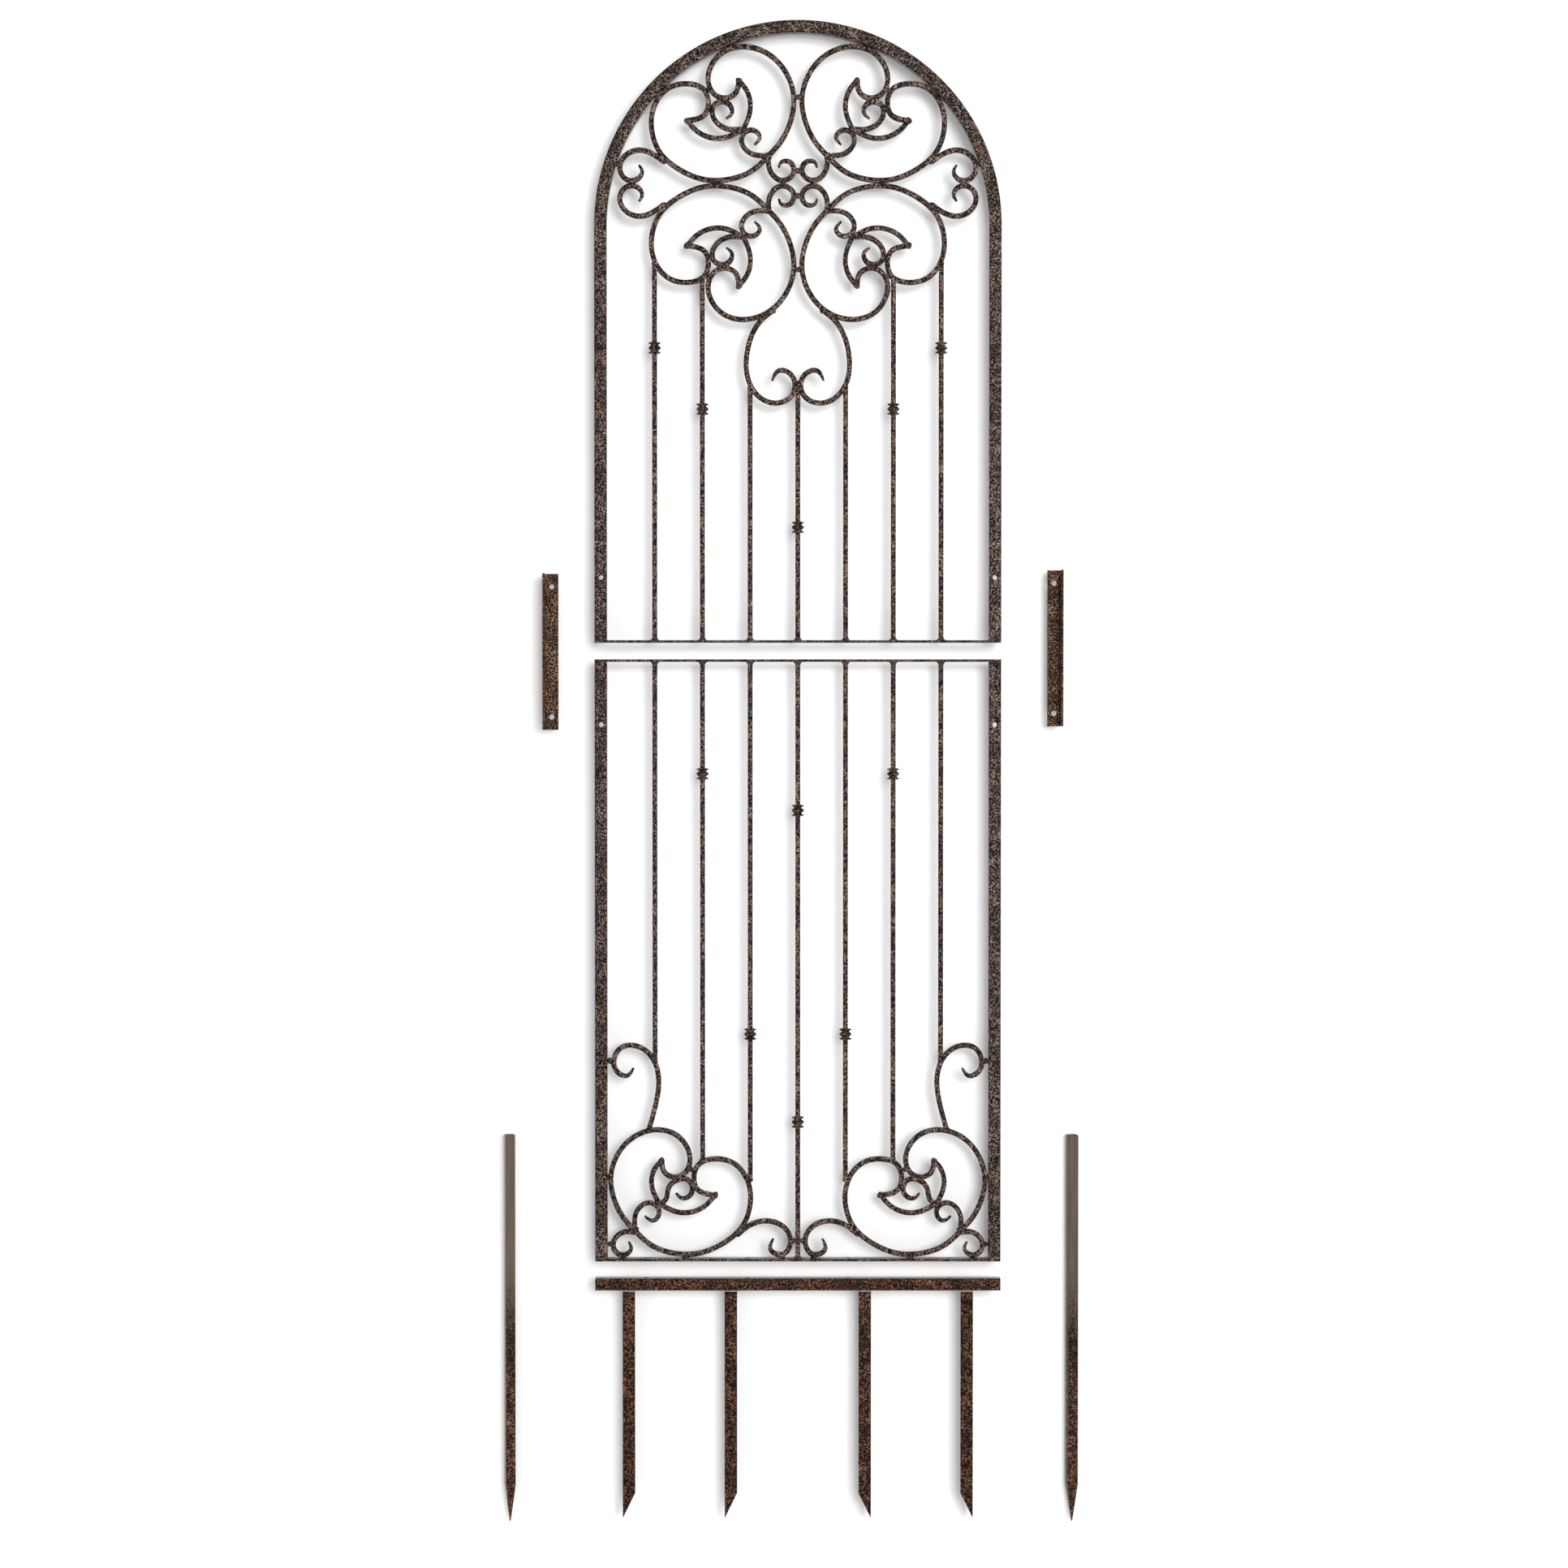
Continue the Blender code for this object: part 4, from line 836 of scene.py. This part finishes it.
turn = np.linspace(pi, 0.0, 121)
leg = np.linspace(ARCH_LOW[2], ARCH_CENTRE, 12)[:-1]
arch = np.concatenate([np.stack([np.full(11, -TUBE_LINE), leg], 1),
                       np.stack([TUBE_LINE * np.cos(turn), ARCH_CENTRE + TUBE_LINE * np.sin(turn)], 1),
                       np.stack([np.full(11, TUBE_LINE), leg[::-1]], 1)])
make_piece("upper_frame_tube", [tube_wall(arch)], [], "upper_panel", BRONZE,
           [cross_hole(side * TUBE_LINE, UPPER_FOOT + BOLT_REACH) for side in (-1, 1)])
for label, side in (("left", -1), ("right", 1)):
    run = np.linspace((side * TUBE_LINE, TUBE_HIGH[2]), (side * TUBE_LINE, TUBE_LOW[2]), 9)
    make_piece(f"lower_{label}_tube", [tube_wall(run)], [], "lower_panel", BRONZE,
               [cross_hole(side * TUBE_LINE, LOWER_TOP - BOLT_REACH)])
print("tubes: an arch of", len(arch), "rows and two uprights")

# %% [markdown]
# ## Rails
# Each is a rectangle with just-broken edges, carried from side to side, and then drilled, because the
# rims of its holes can be seen from above.

# %% Rails
RAIL_HOLE, DRILL = 3.3 * MM, 20 * MM    # a hole's radius, and the drill's length
SEAM_HOLES = [side * PITCH * (bay - 0.5) for side in (-1, 1) for bay in (2, 3, 4)]
BASE_HOLES = [-0.2478, -0.0820, 0.0820, 0.2478]


def down_holes(places, height):
    """Bolt holes down through a flat bar or a flange."""
    return [((across, 0.0, height), RAIL_HOLE, DRILL, "Z") for across in places]


def rail(node, body, places):
    """A flat bar along X with its holes."""
    low, high = corners(node)
    middle = (low[2] + high[2]) / 2
    run = straight((low[0], middle), (high[0], middle), 40, 0.08)
    bar = shell(carry(box_profile(high[2] - low[2], high[1] - low[1], 0.9 * MM), run))
    make_piece(node, [bar], [], body, BRONZE, down_holes(places, middle))
    print(node, "with", len(places), "holes")


rail("upper_bottom_rail", "upper_panel", SEAM_HOLES)
rail("lower_top_rail", "lower_panel", SEAM_HOLES)
rail("lower_bottom_rail", "lower_panel", BASE_HOLES)

# %% [markdown]
# ## Connectors
# A connector is a length of angle iron that wraps a corner of both frame tubes and is bolted through
# them.  Two boxes at a right angle would miss what rolled iron looks like, which is an L with a round
# back and softer toes, so that profile is drawn once, with its own radius at each corner, and carried
# down the connector.

# %% Angle iron and connectors
IRON, FIT = 3.2 * MM, 0.4 * MM  # the iron's thickness, and the room between it and a tube
TOES = np.array([2.2, 0.7, 0.7, 1.2, 0.7, 0.7])[:, None] * MM


def angle_profile(wide, deep):
    """An L from its corner: one flange goes wide along the path's normal and the other deep along Y, and the
    thickness lies on their side.  The signs of the sizes turn the L round."""
    across, inward = np.sign(wide) * IRON, np.sign(deep) * IRON
    outline = [(0, 0), (wide, 0), (wide, inward), (across, inward), (across, deep), (0, deep)]
    return softened(outline, TOES, 5)


def downwards(across, top, bottom):
    """A straight path down, whose normal points to +X."""
    return straight((across, top), (across, bottom), 30, 0.03)


for label, side in (("left", -1), ("right", 1)):
    name = f"{label}_connector"
    low, high = corners(name)
    outer, back, middle = (high[0] if side > 0 else low[0]), high[1], (low[2] + high[2]) / 2
    profile = angle_profile(-side * (high[0] - low[0]), low[1] - high[1])
    hole_across = outer - side * (IRON + FIT + TUBE / 2)
    iron = carry(profile, downwards(outer, high[2], low[2]), 1.0, back)
    make_piece(name, [shell(iron)], [], name, CONNECTOR,
               [((hole_across, back, middle + flip * BOLT_REACH), BOLT_HOLE, DRILL, "Y") for flip in (-1, 1)])
print("connectors: two angle irons of", round((high[2] - low[2]) / MM), "mm")

# %% [markdown]
# ## The ground anchor
# The anchor is an angle-iron bar on four legs that are pressed into the soil, each cut on a slant to a
# point.  A Boolean could cut the slant, but pushing the last row of the leg's grid down, in step with
# the distance from its outer edge, keeps the rows whole.  The beads on the seam that joins a leg to the
# bar carry the mark 2, which paints them pale: a painted highlight for the line of light along that joint.

# %% Anchor bar and legs
LEG_CUT = 42 * MM
low, high = corners("anchor_bar")
beam = carry(angle_profile(low[2] - high[2], high[1] - low[1]),
             straight((low[0], high[2]), (high[0], high[2]), 40, 0.08), 1.0, low[1])
make_piece("anchor_bar", [shell(beam)], [], "anchor", ANCHOR, down_holes(BASE_HOLES, high[2]))
for number in range(1, 5):
    low, high = corners(f"anchor_leg_{number}")
    side = -1 if high[0] < 0 else 1
    outer, wide = (high[0] if side > 0 else low[0]), high[0] - low[0]
    grid = carry(angle_profile(-side * wide, high[1] - low[1]), downwards(outer, high[2], low[2] + LEG_CUT),
                 1.0, low[1])
    slant = grid[-1:].copy()
    slant[..., 2] = low[2] + np.abs(slant[..., 0] - outer) * LEG_CUT / wide
    seam = [bead(outer - side * wide / 2 + shift * wide, -1.0 * MM, 6.8, 3.6, 3.4)
            for shift in (-0.36, -0.18, 0.0, 0.18, 0.36)]
    for spots, faces in seam:
        spots[:, 1] += low[1] + 0.2 * MM
    # mark 2 gives these seam beads the pale painted highlight
    make_piece(f"anchor_leg_{number}", [shell(np.concatenate([grid, slant]))], seam, "anchor", ANCHOR,
               weld_mark=2.0)
print("anchor: a bar and four legs")

# %% [markdown]
# ## Stakes
# A stake is a square tube that was swaged to a four-sided point.  The point could be a cone set on a
# tube, but the two would meet in a seam, so the outside runs on past the shoulder and its rows shrink
# to a blunt end, and the inside turns back at the shoulder.  Each stake lies a little turned about its
# own length, which is done in the profile so that the piece itself stays unturned.

# %% The two stakes
STAKE_TURN, STAKE_POINT = radians(15), 63.5 * MM
BODY_ROWS = 40
for label in ("left", "right"):
    name = f"{label}_stake"
    low, high = corners(name)
    across, middle = (low[0] + high[0]) / 2, (low[1] + high[1]) / 2
    side = (high[0] - low[0]) / (cos(STAKE_TURN) + sin(STAKE_TURN))
    bore = side - 2 * TUBE_WALL
    turned = np.array([[cos(STAKE_TURN), sin(STAKE_TURN)], [-sin(STAKE_TURN), cos(STAKE_TURN)]])
    shoulder = low[2] + STAKE_POINT
    heights = np.concatenate([np.linspace(high[2], shoulder + 2.2 * MM, BODY_ROWS),
                              shoulder + np.array([1.4, 0.7, 0]) * MM, np.linspace(shoulder, low[2], 16)[1:]])
    share = np.interp(heights, [low[2], shoulder, shoulder + 0.7 * MM, shoulder + 1.4 * MM],
                      [0.1, 1, 1, 0.965])
    share[-1] *= 0.6
    path = np.stack([np.full(len(heights), across), heights], axis=1)
    outside = carry(box_profile(side, side, 1.5 * MM, 5) @ turned, path, share, middle)
    inside = carry(box_profile(bore, bore, 0.9 * MM, 5) @ turned, path[:BODY_ROWS + 1], 1.0, middle)
    make_piece(name, [shell(np.concatenate([inside[::-1], outside]))], [], name, STAKE)
print("stakes: two, with sides of", round(side / MM, 1), "mm")

# %% [markdown]
# ## The studio sheet
# A floor and a wall would show the line where they meet, so it is one surface that bends from one to
# the other along a quarter circle.

# %% Sheet and paper
FLOOR, WALL, BEND = CAD_BOX[0][2] - 0.09, CAD_BOX[1][1] + 0.006, 0.05
u = np.linspace(0.0, pi / 2, 13)
depth = np.concatenate([[-9.0], WALL - BEND + BEND * np.sin(u), [WALL]])
height = np.concatenate([[FLOOR], FLOOR + BEND - BEND * np.cos(u), [6.0]])
spots = np.stack([np.repeat([[-8.0], [8.0]], len(depth), axis=1), np.tile(depth, (2, 1)),
                  np.tile(height, (2, 1))], axis=-1).reshape(-1, 3)
number = np.arange(len(depth) - 1)
faces = np.stack([number, number + len(depth), number + len(depth) + 1, number + 1], axis=1)
sheet_mesh = bpy.data.meshes.new("studio_sheet")
sheet_mesh.from_pydata(spots.tolist(), [], faces.tolist())
sheet_mesh.shade_smooth()
sheet = bpy.data.objects.new("studio_sheet", sheet_mesh)
bpy.context.scene.collection.objects.link(sheet)
paper = bpy.data.materials.new("studio paper")
paper.use_nodes = True
tree = paper.node_tree
shader = tree.nodes["Principled BSDF"]
for label, value in (("Base Color", (0.86, 0.86, 0.86, 1)), ("Roughness", 0.9), ("Specular IOR Level", 0.1)):
    shader.inputs[label].default_value = value
behind = node(tree, "NewGeometry").outputs["Backfacing"]
clear = node(tree, "BsdfTransparent").outputs[0]
both = node(tree, "MixShader", {0: behind, 1: shader.outputs[0], 2: clear})
tree.links.new(both.outputs[0], tree.nodes["Material Output"].inputs["Surface"])
sheet_mesh.materials.append(paper)
print("sheet from", round(FLOOR, 3), "up, its wall", round(WALL / MM), "mm behind the middle plane")

# %% [markdown]
# ## Lamps and sky
# The shadows are soft and fall a little to the left, so the light is wide and comes from the right and
# above.  A sun lamp would draw them hard.  One wide lamp does most, a weak one opens the left sides,
# one lights the back for anyone who walks round, and a pale sky fills the rest.


# %% Lamps and sky
def lamp(name, place, aim, size, power):
    """A square area lamp that points from its place to its aim."""
    light = bpy.data.lights.new(name, "AREA")
    light.shape, light.size, light.energy = "SQUARE", size, power
    holder = bpy.data.objects.new(name, light)
    bpy.context.scene.collection.objects.link(holder)
    holder.location = place
    holder.rotation_euler = (Vector(aim) - Vector(place)).to_track_quat("-Z", "Y").to_euler()


lamp("key", (2.5, -9.3, 2.5), (0.0, 0.0, 0.85), 4.2, 760.0)
lamp("fill", (-3.5, -5.5, 1.6), (0.0, 0.0, 0.8), 3.5, 30.0)
lamp("back", (-1.5, 5.5, 3.2), (0.0, 0.0, 0.9), 3.0, 180.0)
sky = bpy.data.worlds.new("pale sky")
sky.use_nodes = True
sky.node_tree.nodes["Background"].inputs["Color"].default_value = (1.0, 1.0, 1.0, 1)
sky.node_tree.nodes["Background"].inputs["Strength"].default_value = 0.46
bpy.context.scene.world = sky
bpy.context.scene.view_settings.view_transform = "Standard"
print("three lamps and a pale sky")

# %% [markdown]
# ## The camera
# A longer lens from further off would flatten that away, and a nearer one would spread it.

# %% Camera
LENS, SENSOR, TILT, DISTANCE = 63.5, 36.0, radians(1.0), 4.5
AIM = Vector((-0.0225, 0.0, 0.825))
camera = bpy.data.objects.new("camera", bpy.data.cameras.new("camera"))
camera.data.lens, camera.data.sensor_width = LENS, SENSOR
camera.location = AIM + DISTANCE * Vector((0.0, -cos(TILT), sin(TILT)))
camera.rotation_euler = (pi / 2 - TILT, 0.0, 0.0)
bpy.context.scene.collection.objects.link(camera)
bpy.context.scene.camera = camera
print("camera at", [round(value, 3) for value in camera.location])
